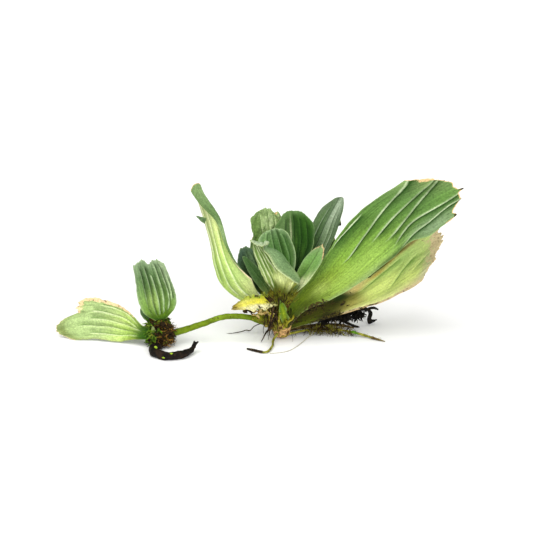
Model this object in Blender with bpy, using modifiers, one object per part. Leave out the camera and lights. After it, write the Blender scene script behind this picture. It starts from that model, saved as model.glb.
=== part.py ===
"""A water lettuce, lifted out of its pond and laid on a flat surface.

The mother rosette leans on its short crown. A runner joins the crown to a young plantlet
on its left, and roots trail from both. Metres, +Z up, +X to the right, +Y to the back,
with the origin under the crown, on the surface that the plant lies on.
"""

import math

import bmesh
import bpy
from mathutils import Vector

MM = 0.001

# Driving dimensions of the mother plant. Those in millimetres are half widths and radii that
# the outlines below multiply.
CROWN_HEIGHT = 25 * MM
CROWN_RADIUS = 8.6
BROAD_LEAF_HALF_WIDTH = 13
OLD_LEAF_HALF_WIDTH = 10.3
TALL_LEAF_HALF_WIDTH = 12
FRONT_LEAF_HALF_WIDTH = 10.5
LEAF_BASE_THICK = 1.7 * MM
LEAF_TIP_THICK = 0.8 * MM
RUNNER_RADIUS = 1.3
GAP = 0.4 * MM
WELD = 0.02 * MM
WALK_STEPS = 12

# Driving dimensions of the plantlet
DAUGHTER_PLACE = Vector((-54.5, -7.5, 0.0)) * MM
DAUGHTER_HEIGHT = 13 * MM
DAUGHTER_RADIUS = 5.7
DAUGHTER_LEAF_HALF_WIDTH = 8

# Each finish's colour
COLOURS = {
    "pale leaf": (0.42, 0.60, 0.26),
    "fresh leaf": (0.30, 0.50, 0.13),
    "dark leaf": (0.13, 0.28, 0.08),
    "felted leaf": (0.26, 0.40, 0.24),
    "old leaf": (0.52, 0.56, 0.25),
    "torn leaf": (0.78, 0.70, 0.20),
    "runner": (0.32, 0.46, 0.10),
    "crown": (0.20, 0.20, 0.05),
    "root": (0.50, 0.36, 0.14),
    "dead tissue": (0.03, 0.02, 0.015),
}
ROUGHNESS = 0.6


def clear_scene():
    for old in list(bpy.data.objects):
        bpy.data.objects.remove(old, do_unlink=True)


def collection(name):
    made = bpy.data.collections.new(name)
    bpy.context.scene.collection.children.link(made)
    return made


def material(name, finish):
    made = bpy.data.materials.new(name)
    made.use_nodes = True
    shader = made.node_tree.nodes["Principled BSDF"]
    shader.inputs["Base Color"].default_value = (*COLOURS[finish], 1.0)
    shader.inputs["Roughness"].default_value = ROUGHNESS
    shader.inputs["Metallic"].default_value = 0.0
    return made


def place(obj, home, finish):
    """Puts an object in its collection and gives it a material of its own."""
    for old in list(obj.users_collection):
        old.objects.unlink(obj)
    home.objects.link(obj)
    obj.data.materials.clear()
    obj.data.materials.append(material(obj.name, finish))
    return obj


def smooth(low, high, x):
    """0 below low, 1 above high, and a smooth rise between them."""
    s = min(1.0, max(0.0, (x - low) / (high - low)))
    return s * s * (3 - 2 * s)


def between(values, t):
    """The value at t, from 0 to 1, of a smooth line through evenly spaced values."""
    last = len(values) - 1
    x = min(max(t, 0.0), 1.0) * last
    i = min(int(x), last - 1)
    f = x - i
    b, c = values[i], values[i + 1]
    a = values[i - 1] if i else 2 * b - c
    d = values[i + 2] if i + 2 <= last else 2 * c - b
    return 0.5 * (2 * b + (c - a) * f + (2 * a - 5 * b + 4 * c - d) * f**2 + (3 * b - a - 3 * c + d) * f**3)


def frame_at(guide, faces, t):
    """The point, direction, upper side's direction and sideways direction of a blade at t."""
    step = 0.01
    ahead = between(guide, min(t + step, 1.0)) - between(guide, max(t - step, 0.0))
    ahead.normalize()
    facing = between(faces, t)
    up = (facing - ahead * facing.dot(ahead)).normalized()
    return between(guide, t), ahead, up, ahead.cross(up)


class Blade:
    """One leaf's surface: a guide line, the way its upper side faces, and how it curls.

    t runs from 0 at the base to 1 at the tip, and v from -1 at one margin to 1 at the other.
    Angles are in degrees. Both margins rise towards the upper side by cup, and by crease
    close to the midrib. A roll turns the blade past a line, and pleats run along it.
    """

    def __init__(self, guide, faces, half_width, outline, guide_v=0.0, cup=(20, 10), crease=(0, 0),
                 roll=None, pleats=0, pleat_height=0.0, pleat_start=0.2, tip_pull=0.12, tip_skew=0.0,
                 ripple=0.0, notch=None, rests=False):
        self.guide = [Vector(p) * MM for p in guide]
        self.faces = [Vector(f) for f in faces]
        self.half_width = half_width * MM
        self.outline = outline
        self.guide_v = guide_v
        self.cup = cup
        self.crease = crease
        self.roll = roll
        self.pleats = pleats
        self.pleat_height = pleat_height * MM
        self.pleat_start = pleat_start
        self.tip_pull = tip_pull
        self.tip_skew = tip_skew
        self.ripple = ripple * MM
        self.notch = notch
        self.rests = rests

    def turn(self, t, v):
        """How far, in radians, the blade has turned out of its flat plane at t and v."""
        side = 1 if v >= 0 else -1
        lift = between(self.cup, t) * abs(v)
        lift += self.crease[0 if v < 0 else 1] * math.tanh(abs(v) / 0.15)
        angle = side * lift
        if self.roll:
            roll_side, degrees, line, start, wide = self.roll
            past = roll_side * (v - between(line, t))
            angle += roll_side * degrees * smooth(0, wide, past) * smooth(start, start + 0.25, t)
        return math.radians(angle)

    def point(self, t, v):
        """Walks sideways from the guide line to v, so that a curled blade keeps its width."""
        slanted_side = v if self.tip_skew > 0 else -v
        slant = abs(self.tip_skew) * ((1 + slanted_side) / 2) ** 2
        end = t * (1 - self.tip_pull * abs(v) ** 3 - slant)
        if self.notch:
            notch_v, depth = self.notch
            end -= depth * t**8 * math.exp(-(((v - notch_v) / 0.16) ** 2))
        middle, _, up, sideways = frame_at(self.guide, self.faces, end)
        width = self.half_width * between(self.outline, end)
        stride = (v - self.guide_v) / WALK_STEPS
        reach = rise = 0.0
        for i in range(WALK_STEPS):
            angle = self.turn(end, self.guide_v + (i + 0.5) * stride)
            reach += math.cos(angle) * stride * width
            rise += math.sin(angle) * stride * width
        angle = self.turn(end, v)
        bump = self.pleat_height * smooth(self.pleat_start, self.pleat_start + 0.35, t)
        bump *= math.cos(math.pi * self.pleats * v)
        bump += self.ripple * abs(v) ** 3 * math.sin(9 * t + 2 * v) * smooth(0.2, 0.6, t)
        reach -= math.sin(angle) * bump
        rise += math.cos(angle) * bump
        spot = middle + sideways * reach + up * rise
        if self.rests:
            spot.z = max(spot.z, LEAF_TIP_THICK / 2)
        return spot


def leaf(name, blade, cells, home, finish, hub, thick=1.0):
    """A leaf as a solid: a grid shaped as the blade, thick at the base and thin at the tip."""
    rows, columns = cells
    bpy.ops.mesh.primitive_grid_add(x_subdivisions=columns, y_subdivisions=rows, size=2)
    obj = bpy.context.object
    obj.name = obj.data.name = name
    base_share = obj.vertex_groups.new(name="towards the base")
    for corner in obj.data.vertices:
        t, v = (corner.co.y + 1) / 2, corner.co.x
        base_share.add([corner.index], (1 - t) ** 1.5, "REPLACE")
        corner.co = blade.point(t, v)
    wall = obj.modifiers.new("thickness", "SOLIDIFY")
    wall.thickness = LEAF_BASE_THICK * thick
    wall.offset = 0
    wall.vertex_group = base_share.name
    wall.thickness_vertex_group = LEAF_TIP_THICK / LEAF_BASE_THICK
    cut = obj.modifiers.new("cut where it meets the crown", "BOOLEAN")
    cut.operation = "DIFFERENCE"
    cut.object = hub
    obj.data.shade_smooth()
    return place(obj, home, finish)


def tube(name, points, radii, home, finish, hubs, sides=1, stations=2):
    """A root or runner: a round tube along a smooth line, with a radius at each point."""
    line = [Vector(p) * MM for p in points]
    count = stations * (len(points) - 1) + 1
    curve = bpy.data.curves.new(name + " line", "CURVE")
    curve.dimensions = "3D"
    curve.bevel_depth = 1 * MM
    curve.bevel_resolution = sides
    curve.use_fill_caps = True
    spline = curve.splines.new("POLY")
    spline.points.add(count - 1)
    for i, spot in enumerate(spline.points):
        t = i / (count - 1)
        spot.co = (*between(line, t), 1)
        spot.radius = between(radii, t)
    guide = bpy.data.objects.new(name + " line", curve)
    bpy.context.scene.collection.objects.link(guide)
    bpy.context.view_layer.update()
    mesh = bpy.data.meshes.new_from_object(guide.evaluated_get(bpy.context.evaluated_depsgraph_get()))
    bpy.data.objects.remove(guide)
    welded = bmesh.new()
    welded.from_mesh(mesh)
    bmesh.ops.remove_doubles(welded, verts=welded.verts, dist=WELD)
    welded.to_mesh(mesh)
    welded.free()
    obj = bpy.data.objects.new(name, mesh)
    bpy.context.scene.collection.objects.link(obj)
    for hub in hubs:
        cut = obj.modifiers.new("cut where it meets the crown", "BOOLEAN")
        cut.operation = "DIFFERENCE"
        cut.object = hub
    mesh.shade_smooth()
    return place(obj, home, finish)


def lump(name, centre, height, radii, lean, wobble, home, finish, segments=18, rings=11):
    """A knobbly upright body with a flat foot: a sphere whose rings take the radii, foot to top."""
    bpy.ops.mesh.primitive_uv_sphere_add(segments=segments, ring_count=rings, radius=1)
    obj = bpy.context.object
    obj.name = obj.data.name = name
    for corner in obj.data.vertices:
        level = math.acos(max(-1.0, min(1.0, -corner.co.z))) / math.pi
        t = max(0.0, (level - 1 / rings) / (1 - 1 / rings))
        around = math.atan2(corner.co.y, corner.co.x)
        ring = 0 if min(level, 1 - level) < 1e-3 else between(radii, t) * MM
        ring *= 1 + wobble * (math.sin(3 * around + 9 * t) + 0.6 * math.sin(5 * around - 14 * t))
        outward = Vector((math.cos(around), math.sin(around), 0))
        corner.co = centre + Vector(lean) * MM * t + outward * ring
        corner.co.z = centre.z + height * t
    obj.data.shade_smooth()
    return place(obj, home, finish)


def inflated(obj, by, home):
    """A copy of a body, grown by a gap, that cuts what meets it."""
    copy = bpy.data.objects.new(obj.name + " cutter", obj.data.copy())
    home.objects.link(copy)
    swell = copy.modifiers.new("gap", "DISPLACE")
    swell.mid_level = 0
    swell.strength = by
    copy.hide_render = True
    copy.display_type = "WIRE"
    return copy


def mother_plant(home, cutters):
    """The crown and its leaves; returns the shape that cuts what else meets the crown."""
    crown = lump("crown", Vector((0.3, 1.0, 0)) * MM, CROWN_HEIGHT,
                 [CROWN_RADIUS * share for share in (0.3, 0.45, 0.5, 0.53, 0.63, 0.79, 0.93, 1.0, 0.95, 0.7)],
                 (1.5, 2.5, 0), 0.05, home, "crown")
    hub = inflated(crown, GAP, cutters)

    # The widest leaf, out to the right: smooth below, with pleats that run to its worn tip
    leaf("broad_right_leaf", Blade(
        guide=[(3, 1, 8.5), (9, -4.5, 18.5), (19.5, -5, 27.5), (29.5, -4.8, 37.5), (38.7, -4, 48),
               (49.5, -2.8, 57.5), (62, -1.5, 65.5), (77.5, 0, 74)],
        faces=[(-0.4, -0.75, 0.5), (-0.25, -0.88, 0.35), (-0.3, -0.85, 0.42)],
        half_width=BROAD_LEAF_HALF_WIDTH, outline=[0.17, 0.33, 0.56, 0.80, 0.95, 1.0, 1.0, 1.0],
        cup=(50, 20, 5, 0), pleats=5, pleat_height=0.9, pleat_start=0.35, tip_pull=0.1, tip_skew=-0.05),
        (11, 20), home, "fresh leaf", hub, thick=1.3)

    # The oldest leaf, below the widest one: dry along its margins and torn at its tip
    leaf("old_right_leaf", Blade(
        guide=[(2.5, 2, 5.8), (11, 3.5, 8), (21, 5.5, 11.3), (32, 7.5, 15), (42, 9, 20), (53, 10.5, 27.5),
               (62.5, 11.5, 34.5), (76, 12, 46)],
        faces=[(-0.2, -0.8, 0.55), (-0.25, -0.8, 0.55), (-0.3, -0.8, 0.5)],
        half_width=OLD_LEAF_HALF_WIDTH, outline=[0.22, 0.29, 0.42, 0.68, 0.93, 1.0, 0.95, 0.84],
        cup=(30, 25, 15, 10), pleats=3, pleat_height=0.5, pleat_start=0.3, tip_pull=0.02, tip_skew=0.16,
        ripple=0.6),
        (12, 12), home, "old leaf", hub, thick=1.3)

    # The tall leaf on the left, whose underside shows: its near margin is rolled outwards
    leaf("tall_left_leaf", Blade(
        guide=[(-4.5, 1.5, 12), (-14, 0.5, 18.5), (-22, -1.8, 26.2), (-26.2, -3.8, 36), (-28.6, -4, 46),
               (-30.8, -4, 56), (-33.7, -3, 64.8), (-37.6, -2, 74.6)],
        faces=[(0.5, 0.8, 0.6), (0.75, 0.6, 0.3), (0.75, 0.6, 0.25)],
        half_width=TALL_LEAF_HALF_WIDTH, outline=[0.3, 0.6, 1.1, 1.0, 0.88, 0.85, 0.84, 0.72],
        cup=(40, 55, 50, 40), roll=(-1, -140, [-0.7, -0.5, -0.4, -0.3], 0.25, 0.35),
        pleats=3, pleat_height=0.35, pleat_start=0.0, tip_pull=0.04, tip_skew=0.06),
        (13, 12), home, "pale leaf", hub, thick=1.2)

    # Two leaves that stand at the back of the rosette, and the pleated one before them
    leaf("pale_back_leaf", Blade(
        guide=[(-0.5, 6, 22), (-3, 11.5, 32.5), (-5, 14.5, 41.5), (-6.3, 16.5, 49.5), (-6.8, 17, 56.7)],
        faces=[(0.1, -1, 0.3), (0.1, -1, 0.2)],
        half_width=7.4, outline=[0.3, 0.7, 0.97, 1.0, 0.85], cup=(40, 20, 5),
        pleats=3, pleat_height=0.5, tip_pull=0.12),
        (9, 6), home, "pale leaf", hub)
    leaf("dark_back_leaf", Blade(
        guide=[(4, 5.5, 22), (5.5, 10, 33), (6, 13.4, 41), (5.8, 15.4, 48.4), (5.2, 16.4, 56.2)],
        faces=[(-0.2, -1, 0.3), (-0.15, -1, 0.2)],
        half_width=9.8, outline=[0.28, 0.68, 0.97, 1.0, 0.8], cup=(40, 15, 10),
        crease=(40, 5), tip_pull=0.18),
        (9, 8), home, "dark leaf", hub)
    leaf("pleated_middle_leaf", Blade(
        guide=[(0.5, 1, 22), (0, 3, 31.5), (-1.3, 4.7, 38.5), (-2.8, 5.9, 45), (-3.8, 6.4, 50.6)],
        faces=[(0, -1, 0.3), (0, -1, 0.1)],
        half_width=8.3, outline=[0.35, 0.78, 1.0, 0.92, 0.7], cup=(40, 20, 10),
        pleats=4, pleat_height=0.6, pleat_start=0.1, tip_pull=0.12),
        (9, 8), home, "fresh leaf", hub)

    # The leaf in front shows its ridged underside, and its right margin is folded over
    leaf("front_ridged_leaf", Blade(
        guide=[(-0.8, -4, 18.5), (-1.2, -9, 26.5), (-2.2, -10, 33), (-4.5, -9, 39), (-7.5, -7, 44.5),
               (-9.7, -5, 48.2)],
        faces=[(0.1, 1, 0.1), (0.2, 1, -0.1)], guide_v=0.35,
        half_width=FRONT_LEAF_HALF_WIDTH, outline=[0.2, 0.62, 0.85, 0.88, 0.78, 0.5], cup=(40, 20, 10),
        roll=(-1, -150, [-0.4, -0.42, -0.3, -0.1], 0.15, 0.3),
        pleats=3, pleat_height=0.35, pleat_start=0.0, tip_pull=0.03, tip_skew=-0.16),
        (11, 12), home, "pale leaf", hub)

    # The young leaves around the heart of the rosette
    leaf("shaded_left_leaf", Blade(
        guide=[(-4.5, 4, 18), (-9.5, 5, 25.6), (-13.7, 6, 33), (-17, 6.8, 41.8)],
        faces=[(0.1, -0.95, 0.3), (0.2, -0.95, 0.2)],
        half_width=6, outline=[0.3, 0.75, 1.0, 0.75], cup=(35, 20), tip_pull=0.2),
        (7, 6), home, "dark leaf", hub)
    leaf("narrow_left_leaf", Blade(
        guide=[(-3, 1, 19), (-8, 0.6, 26.2), (-12.2, 0.4, 32.3), (-17, 1, 39.5)],
        faces=[(0.4, -0.9, 0.3), (0.5, -0.8, 0.3)],
        half_width=2.6, outline=[0.7, 1.0, 1.0, 0.6], cup=(30, 20), tip_pull=0.25),
        (7, 4), home, "fresh leaf", hub)
    leaf("folded_upper_leaf", Blade(
        guide=[(7.5, 8, 20), (12.3, 13, 29), (15.8, 15.2, 37), (19.3, 16.6, 44.7), (22.8, 17.4, 53),
               (27.8, 17.8, 63)],
        faces=[(-0.4, -0.9, 0.3), (-0.5, -0.85, 0.2)],
        half_width=6.5, outline=[0.3, 0.65, 0.95, 1.0, 0.88, 0.5], cup=(40, 15, 10),
        crease=(25, 8), tip_pull=0.1, tip_skew=-0.06),
        (10, 8), home, "felted leaf", hub)
    leaf("small_right_leaf", Blade(
        guide=[(3.2, 0, 20), (7, -3.4, 27), (11.3, -5, 33.5), (15, -4.3, 39.5), (18.4, -3, 46)],
        faces=[(-0.5, -0.4, 0.75), (-0.6, -0.6, 0.5)],
        half_width=4.8, outline=[0.3, 0.7, 1.0, 0.95, 0.5], cup=(60, 45, 20), tip_pull=0.15),
        (8, 6), home, "felted leaf", hub)
    leaf("hidden_right_leaf", Blade(
        guide=[(6, 7, 16), (15, 15.5, 25), (20, 19.5, 34), (23, 22, 43)],
        faces=[(-0.5, -0.6, 0.6), (-0.6, -0.7, 0.5)],
        half_width=6.5, outline=[0.35, 0.85, 1.0, 0.75], cup=(35, 15), tip_pull=0.2),
        (6, 6), home, "fresh leaf", hub)
    leaf("rear_leaf", Blade(
        guide=[(-1.5, 7, 16), (-4.5, 18, 25.5), (-7, 25.5, 34), (-8, 31, 42.5)],
        faces=[(0.1, -0.9, 0.5), (0.1, -0.9, 0.4)],
        half_width=7.5, outline=[0.35, 0.85, 1.0, 0.75], cup=(35, 15), tip_pull=0.2),
        (6, 6), home, "fresh leaf", hub)

    # What is left of a leaf that tore off: spongy tissue, and the scale beside it
    leaf("torn_leaf_base", Blade(
        guide=[(-2, -4, 15.5), (-8, -8.5, 19.7), (-14, -10, 20.7), (-21.8, -10, 18.8)],
        faces=[(-0.1, -0.75, 0.65), (-0.1, -0.75, 0.65)],
        half_width=3.5, outline=[0.5, 1.0, 0.95, 0.35], cup=(30, 10), tip_pull=0.1, ripple=0.8),
        (7, 6), home, "torn leaf", hub, thick=1.5)
    leaf("green_scale", Blade(
        guide=[(0, -3, 10), (-0.1, -7, 13), (-0.2, -9.2, 16.3), (-0.4, -10.2, 19.5)],
        faces=[(0, -1, 0.4), (0, -1, 0)],
        half_width=2.2, outline=[0.6, 1.0, 0.9, 0.4], cup=(20, 10), tip_pull=0.2),
        (6, 4), home, "fresh leaf", hub, thick=0.7)
    return hub


def plantlet(home, cutters):
    """The young plant at the runner's end; returns the shape that cuts what meets its crown."""
    young = lump("daughter_crown", DAUGHTER_PLACE, DAUGHTER_HEIGHT,
                 [DAUGHTER_RADIUS * share for share in (0.53, 0.86, 1.0, 0.98, 0.81, 0.53)],
                 (0.5, 0, 0), 0.07, home, "dead tissue", segments=14, rings=8)
    young_hub = inflated(young, GAP, cutters)

    # The plantlet's two leaves: one stands, and the other lies on its lower margin
    leaf("daughter_upright_leaf", Blade(
        guide=[(-53.8, -7.8, 8), (-54.6, -7.8, 15.5), (-56, -7.2, 24), (-57.8, -6.6, 32.5),
               (-59.9, -6.9, 41.2)],
        faces=[(0.15, -1, 0.15), (0.15, -1, 0.1)],
        half_width=DAUGHTER_LEAF_HALF_WIDTH, outline=[0.22, 0.78, 1.0, 0.92, 0.78], cup=(50, 25, 10),
        pleats=5, pleat_height=0.7, pleat_start=0.0, tip_pull=0.06, tip_skew=0.07, notch=(0.05, 0.05)),
        (9, 10), home, "felted leaf", young_hub)
    leaf("daughter_lying_leaf", Blade(
        guide=[(-55.5, -7, 6), (-63.5, -5, 6.3), (-71, -2.5, 7.1), (-80, -0.8, 8.6), (-90, 0.5, 8.5),
               (-102, 1, 5.8)],
        faces=[(0, -1, 0.3), (0, -1, 0.25)],
        half_width=1.1 * DAUGHTER_LEAF_HALF_WIDTH, outline=[0.25, 0.55, 0.82, 0.98, 1.0, 0.6],
        cup=(40, 15, 10), pleats=4, pleat_height=0.5, pleat_start=0.0, tip_pull=0.13,
        notch=(0.75, 0.13), rests=True),
        (10, 8), home, "pale leaf", young_hub)
    leaf("daughter_back_leaf", Blade(
        guide=[(-55.5, -4, 7), (-59.5, 0.8, 10.5), (-63.5, 3.5, 13.8)],
        faces=[(0.3, -0.8, 0.5), (0.3, -0.8, 0.5)],
        half_width=3.4, outline=[0.5, 1.0, 0.7], cup=(40, 20), tip_pull=0.2),
        (5, 6), home, "dark leaf", young_hub)
    leaf("daughter_scale", Blade(
        guide=[(-55.5, -9.5, 5), (-57, -13, 8), (-57, -13.6, 11)],
        faces=[(0, -1, 0.4), (0, -1, 0)],
        half_width=1.6, outline=[0.8, 1.0, 0.6], cup=(20, 10), tip_pull=0.2),
        (4, 4), home, "pale leaf", young_hub, thick=0.7)
    return young_hub


def runner_and_roots(home, hub, young_hub):
    """What joins the two plants, and what trails from them, cut where it meets the crowns."""
    # The runner between the two crowns
    tube("runner", [(-2, -1.5, 8), (-7, -3, 9), (-14, -4, 11.8), (-20, -4.5, 12.7), (-26.6, -5, 12.4),
                    (-34.3, -5.5, 9.8), (-43.4, -6, 6.7), (-52, -7, 4.5)],
         [RUNNER_RADIUS * share for share in (1.15, 1.08, 1, 1, 1, 1.04, 1.15, 1.3)],
         home, "runner", [hub, young_hub], sides=2)

    # The roots that can be told apart, and two dead stalks
    tube("front_root", [(-1.2, -1.5, 3.5), (-3.4, -5.5, 1.2), (-3.8, -10.5, 0.6), (-5.4, -16, 0.6),
                        (-7.4, -18, 0.6), (-10.5, -16.5, 0.6), (-15.3, -13.5, 0.6)],
         [0.5, 0.5, 0.5, 0.55, 0.6, 0.6, 0.3], home, "root", [hub], stations=3)
    tube("thin_root", [(-2, -3, 7), (-6, -6.4, 6.6), (-7.9, -6.2, 3.5), (-9, -5.5, 0.6)],
         [0.4, 0.4, 0.35, 0.25], home, "dead tissue", [hub])
    tube("wavy_root", [(-3, 1.5, 6), (-8, 3.5, 6), (-13, 5, 3), (-15, 6, 1), (-18, 7.6, 0.5), (-23, 5, 0.4)],
         [0.4, 0.4, 0.35, 0.35, 0.35, 0.2], home, "dead tissue", [hub])
    tube("feathery_root", [(2, 0, 2), (8, 2.5, 2.2), (14, 4.5, 2.6), (20, 5, 2.8), (27, 4, 2.5),
                           (34, 2.2, 1.9), (41, -1.2, 1.1), (47.4, -4.8, 0.5)],
         [0.7, 0.7, 0.9, 1.8, 1.9, 1.6, 0.9, 0.3], home, "root", [hub])
    tube("side_root", [(2.5, 4, 2.4), (11, 8.5, 2.2), (20, 10.5, 2.4), (28, 10.5, 2.2), (34, 9.5, 1.2)],
         [0.8, 0.8, 0.8, 0.7, 0.4], home, "dead tissue", [hub])
    tube("dead_stalk", [(1.5, 4, 5.5), (10, 9.8, 5.6), (19, 11.8, 6.6), (27, 12.3, 7), (34, 13.3, 8.2),
                        (39.5, 15, 8.7), (42, 16.5, 6), (41.5, 17.2, 2.8), (42.2, 17.6, 0.8)],
         [1.2, 1.5, 1.8, 1.9, 1.5, 1.0, 1.0, 1.1, 1.2], home, "dead tissue", [hub])
    tube("curled_dead_stalk", [(-54.3, -14.5, 2.2), (-57.2, -16, 1.9), (-56, -21.5, 1.9), (-49.5, -24.8, 1.9),
                               (-43, -22.5, 2), (-39.8, -18, 2.3), (-38.6, -15.5, 5)],
         [1.2, 1.8, 1.9, 1.9, 1.8, 1.4, 0.9], home, "dead tissue", [young_hub], stations=3)


def model():
    clear_scene()
    home = collection("water_lettuce")
    cutters = collection("cutters")
    hub = mother_plant(home, cutters)
    young_hub = plantlet(home, cutters)
    runner_and_roots(home, hub, young_hub)


model()
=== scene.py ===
"""A water lettuce, lifted out of its pond and laid on a pale surface."""
import math
import random

import bpy
import numpy as np
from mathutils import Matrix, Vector, noise


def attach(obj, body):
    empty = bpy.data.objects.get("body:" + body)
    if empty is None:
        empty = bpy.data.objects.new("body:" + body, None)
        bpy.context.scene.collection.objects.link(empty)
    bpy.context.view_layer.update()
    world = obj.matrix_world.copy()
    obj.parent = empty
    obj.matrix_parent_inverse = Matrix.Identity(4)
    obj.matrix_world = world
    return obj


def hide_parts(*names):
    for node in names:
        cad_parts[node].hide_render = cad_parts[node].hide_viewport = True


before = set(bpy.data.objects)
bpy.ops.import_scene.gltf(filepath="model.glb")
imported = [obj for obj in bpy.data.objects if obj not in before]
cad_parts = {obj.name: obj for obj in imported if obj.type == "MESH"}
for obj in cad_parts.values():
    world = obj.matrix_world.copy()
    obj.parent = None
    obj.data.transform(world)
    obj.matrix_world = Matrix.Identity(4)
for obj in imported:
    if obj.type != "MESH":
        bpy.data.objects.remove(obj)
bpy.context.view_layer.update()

# The broad right leaf: a living leaf of thick, spongy tissue under a felt of fine hairs. It
# grows from the crown, smooth and yellow-green below, and its upper half is thrown into steep
# folds along the veins that end at a worn, dry tip.
MM = 0.001


def smooth(low, high, x):
    """0 below low, 1 above high, and a smooth rise between them."""
    s = np.clip((x - low) / (high - low), 0, 1)
    return s * s * (3 - 2 * s)


def between(values, t):
    """A smooth line through evenly spaced values, read at each t from 0 to 1."""
    values = np.asarray(values, float)
    last = len(values) - 1
    x = np.clip(t, 0, 1) * last
    i = np.minimum(x.astype(int), last - 1)
    f = x - i
    row = np.concatenate([[2 * values[0] - values[1]], values, [2 * values[-1] - values[-2]]])
    a, b, c, d = row[i], row[i + 1], row[i + 2], row[i + 3]
    if values.ndim > 1:
        f = f[..., None]
    return 0.5 * (2 * b + (c - a) * f + (2 * a - 5 * b + 4 * c - d) * f**2 + (3 * b - a - 3 * c + d) * f**3)


def wander(x, seed, size):
    """A wandering line: soft noise from -1 to 1 along x, with bumps of the given size."""
    steps = np.linspace(-1.2, 1.2, 480)
    line = [noise.noise(Vector((s / size, seed * 7.3, 1.7))) for s in steps]
    return np.interp(x, steps, line) * 1.6


def vein_folds(t, v, veins, fine):
    """Folds along the veins: each rises to a crest and drops steeply into a furrow beside it."""
    rise_width, hollow_width, band_width, groove_width = 0.16, 0.15, 0.26, 0.06
    # Besides the lift, the crest mask gives pale colour with a painted highlight, and the furrow mask gives
    # painted shade.
    lift, crest_pale_and_lit, furrow_shade = np.zeros_like(t), np.zeros_like(t), np.zeros_like(t)
    for path, height, side in veins:
        ts, vs = [place[0] for place in path], [place[1] for place in path]
        first, last = ts[0], ts[-1]
        fitted = np.polyfit(ts, vs, min(3, len(path) - 1))
        line = np.polyval(fitted, np.clip(t, first - 0.03, last + 0.03))
        x = (v - line - 0.025 * wander(t, 11 * first + 3 * vs[0], 0.22)) * side
        along = smooth(first - 0.03, first + 0.07, t)
        along *= 1 - smooth(last - 0.04, last + 0.03, t) if last < 0.97 else 1
        faint = 0.8 + 0.4 * wander(t, 3 * ts[1] + 5 * vs[0], 0.12)
        deepest = 0.6 + 0.6 * np.exp(-(((t - first - 0.06) / 0.08) ** 2))
        drop = 1 / (1 + np.exp(np.clip(-x / (0.7 * fine), -40, 40)))
        rise = (1 - drop) * np.exp(np.minimum(x, 0) / rise_width)
        hollow = drop * np.exp(-np.maximum(x, 0) / hollow_width)
        lift += along * height * (0.55 * rise - 0.45 * hollow)
        # The crest mask: pale colour with a painted highlight, in a narrow line just before the drop.
        crest_pale_and_lit = np.maximum(crest_pale_and_lit, faint * along * np.exp(-(((x + 0.6 * fine) / (0.55 * fine)) ** 2)))
        # The furrow mask is painted shade: a wide band and a narrow groove on the drop's side, deepest where
        # the fold begins.
        band = drop * np.exp(-np.maximum(x, 0) / band_width)
        groove = drop * np.exp(-np.maximum(x, 0) / groove_width)
        furrow_shade = np.maximum(furrow_shade, along * (0.8 * band + deepest * groove))
    return lift, crest_pale_and_lit, furrow_shade


def patches(t, v, spots):
    """The strongest of several soft oval patches, each (t, v, length, width, strength)."""
    shade = np.zeros_like(t)
    for t0, v0, long, wide, strength in spots:
        shade = np.maximum(shade, strength * np.exp(-(((t - t0) / long) ** 2) - ((v - v0) / wide) ** 2))
    return shade


def tinted(t, v, tints_and_shading):
    """Soft oval tints laid over each other, each (t, v, length, width, strength, colour as seen); some are
    painted light and shade.
    """
    colour, share = np.zeros((len(t), 3)), np.zeros_like(t)
    for t0, v0, long, wide, strength, seen in tints_and_shading:
        part = patches(t, v, [(t0, v0, long, wide, strength)])
        total = part + share * (1 - part)
        colour = colour * (share * (1 - part))[:, None] + np.array(paint(*seen)[:3]) * part[:, None]
        colour /= np.maximum(total, 1e-4)[:, None]
        share = total
    return np.column_stack([colour, share])


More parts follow.
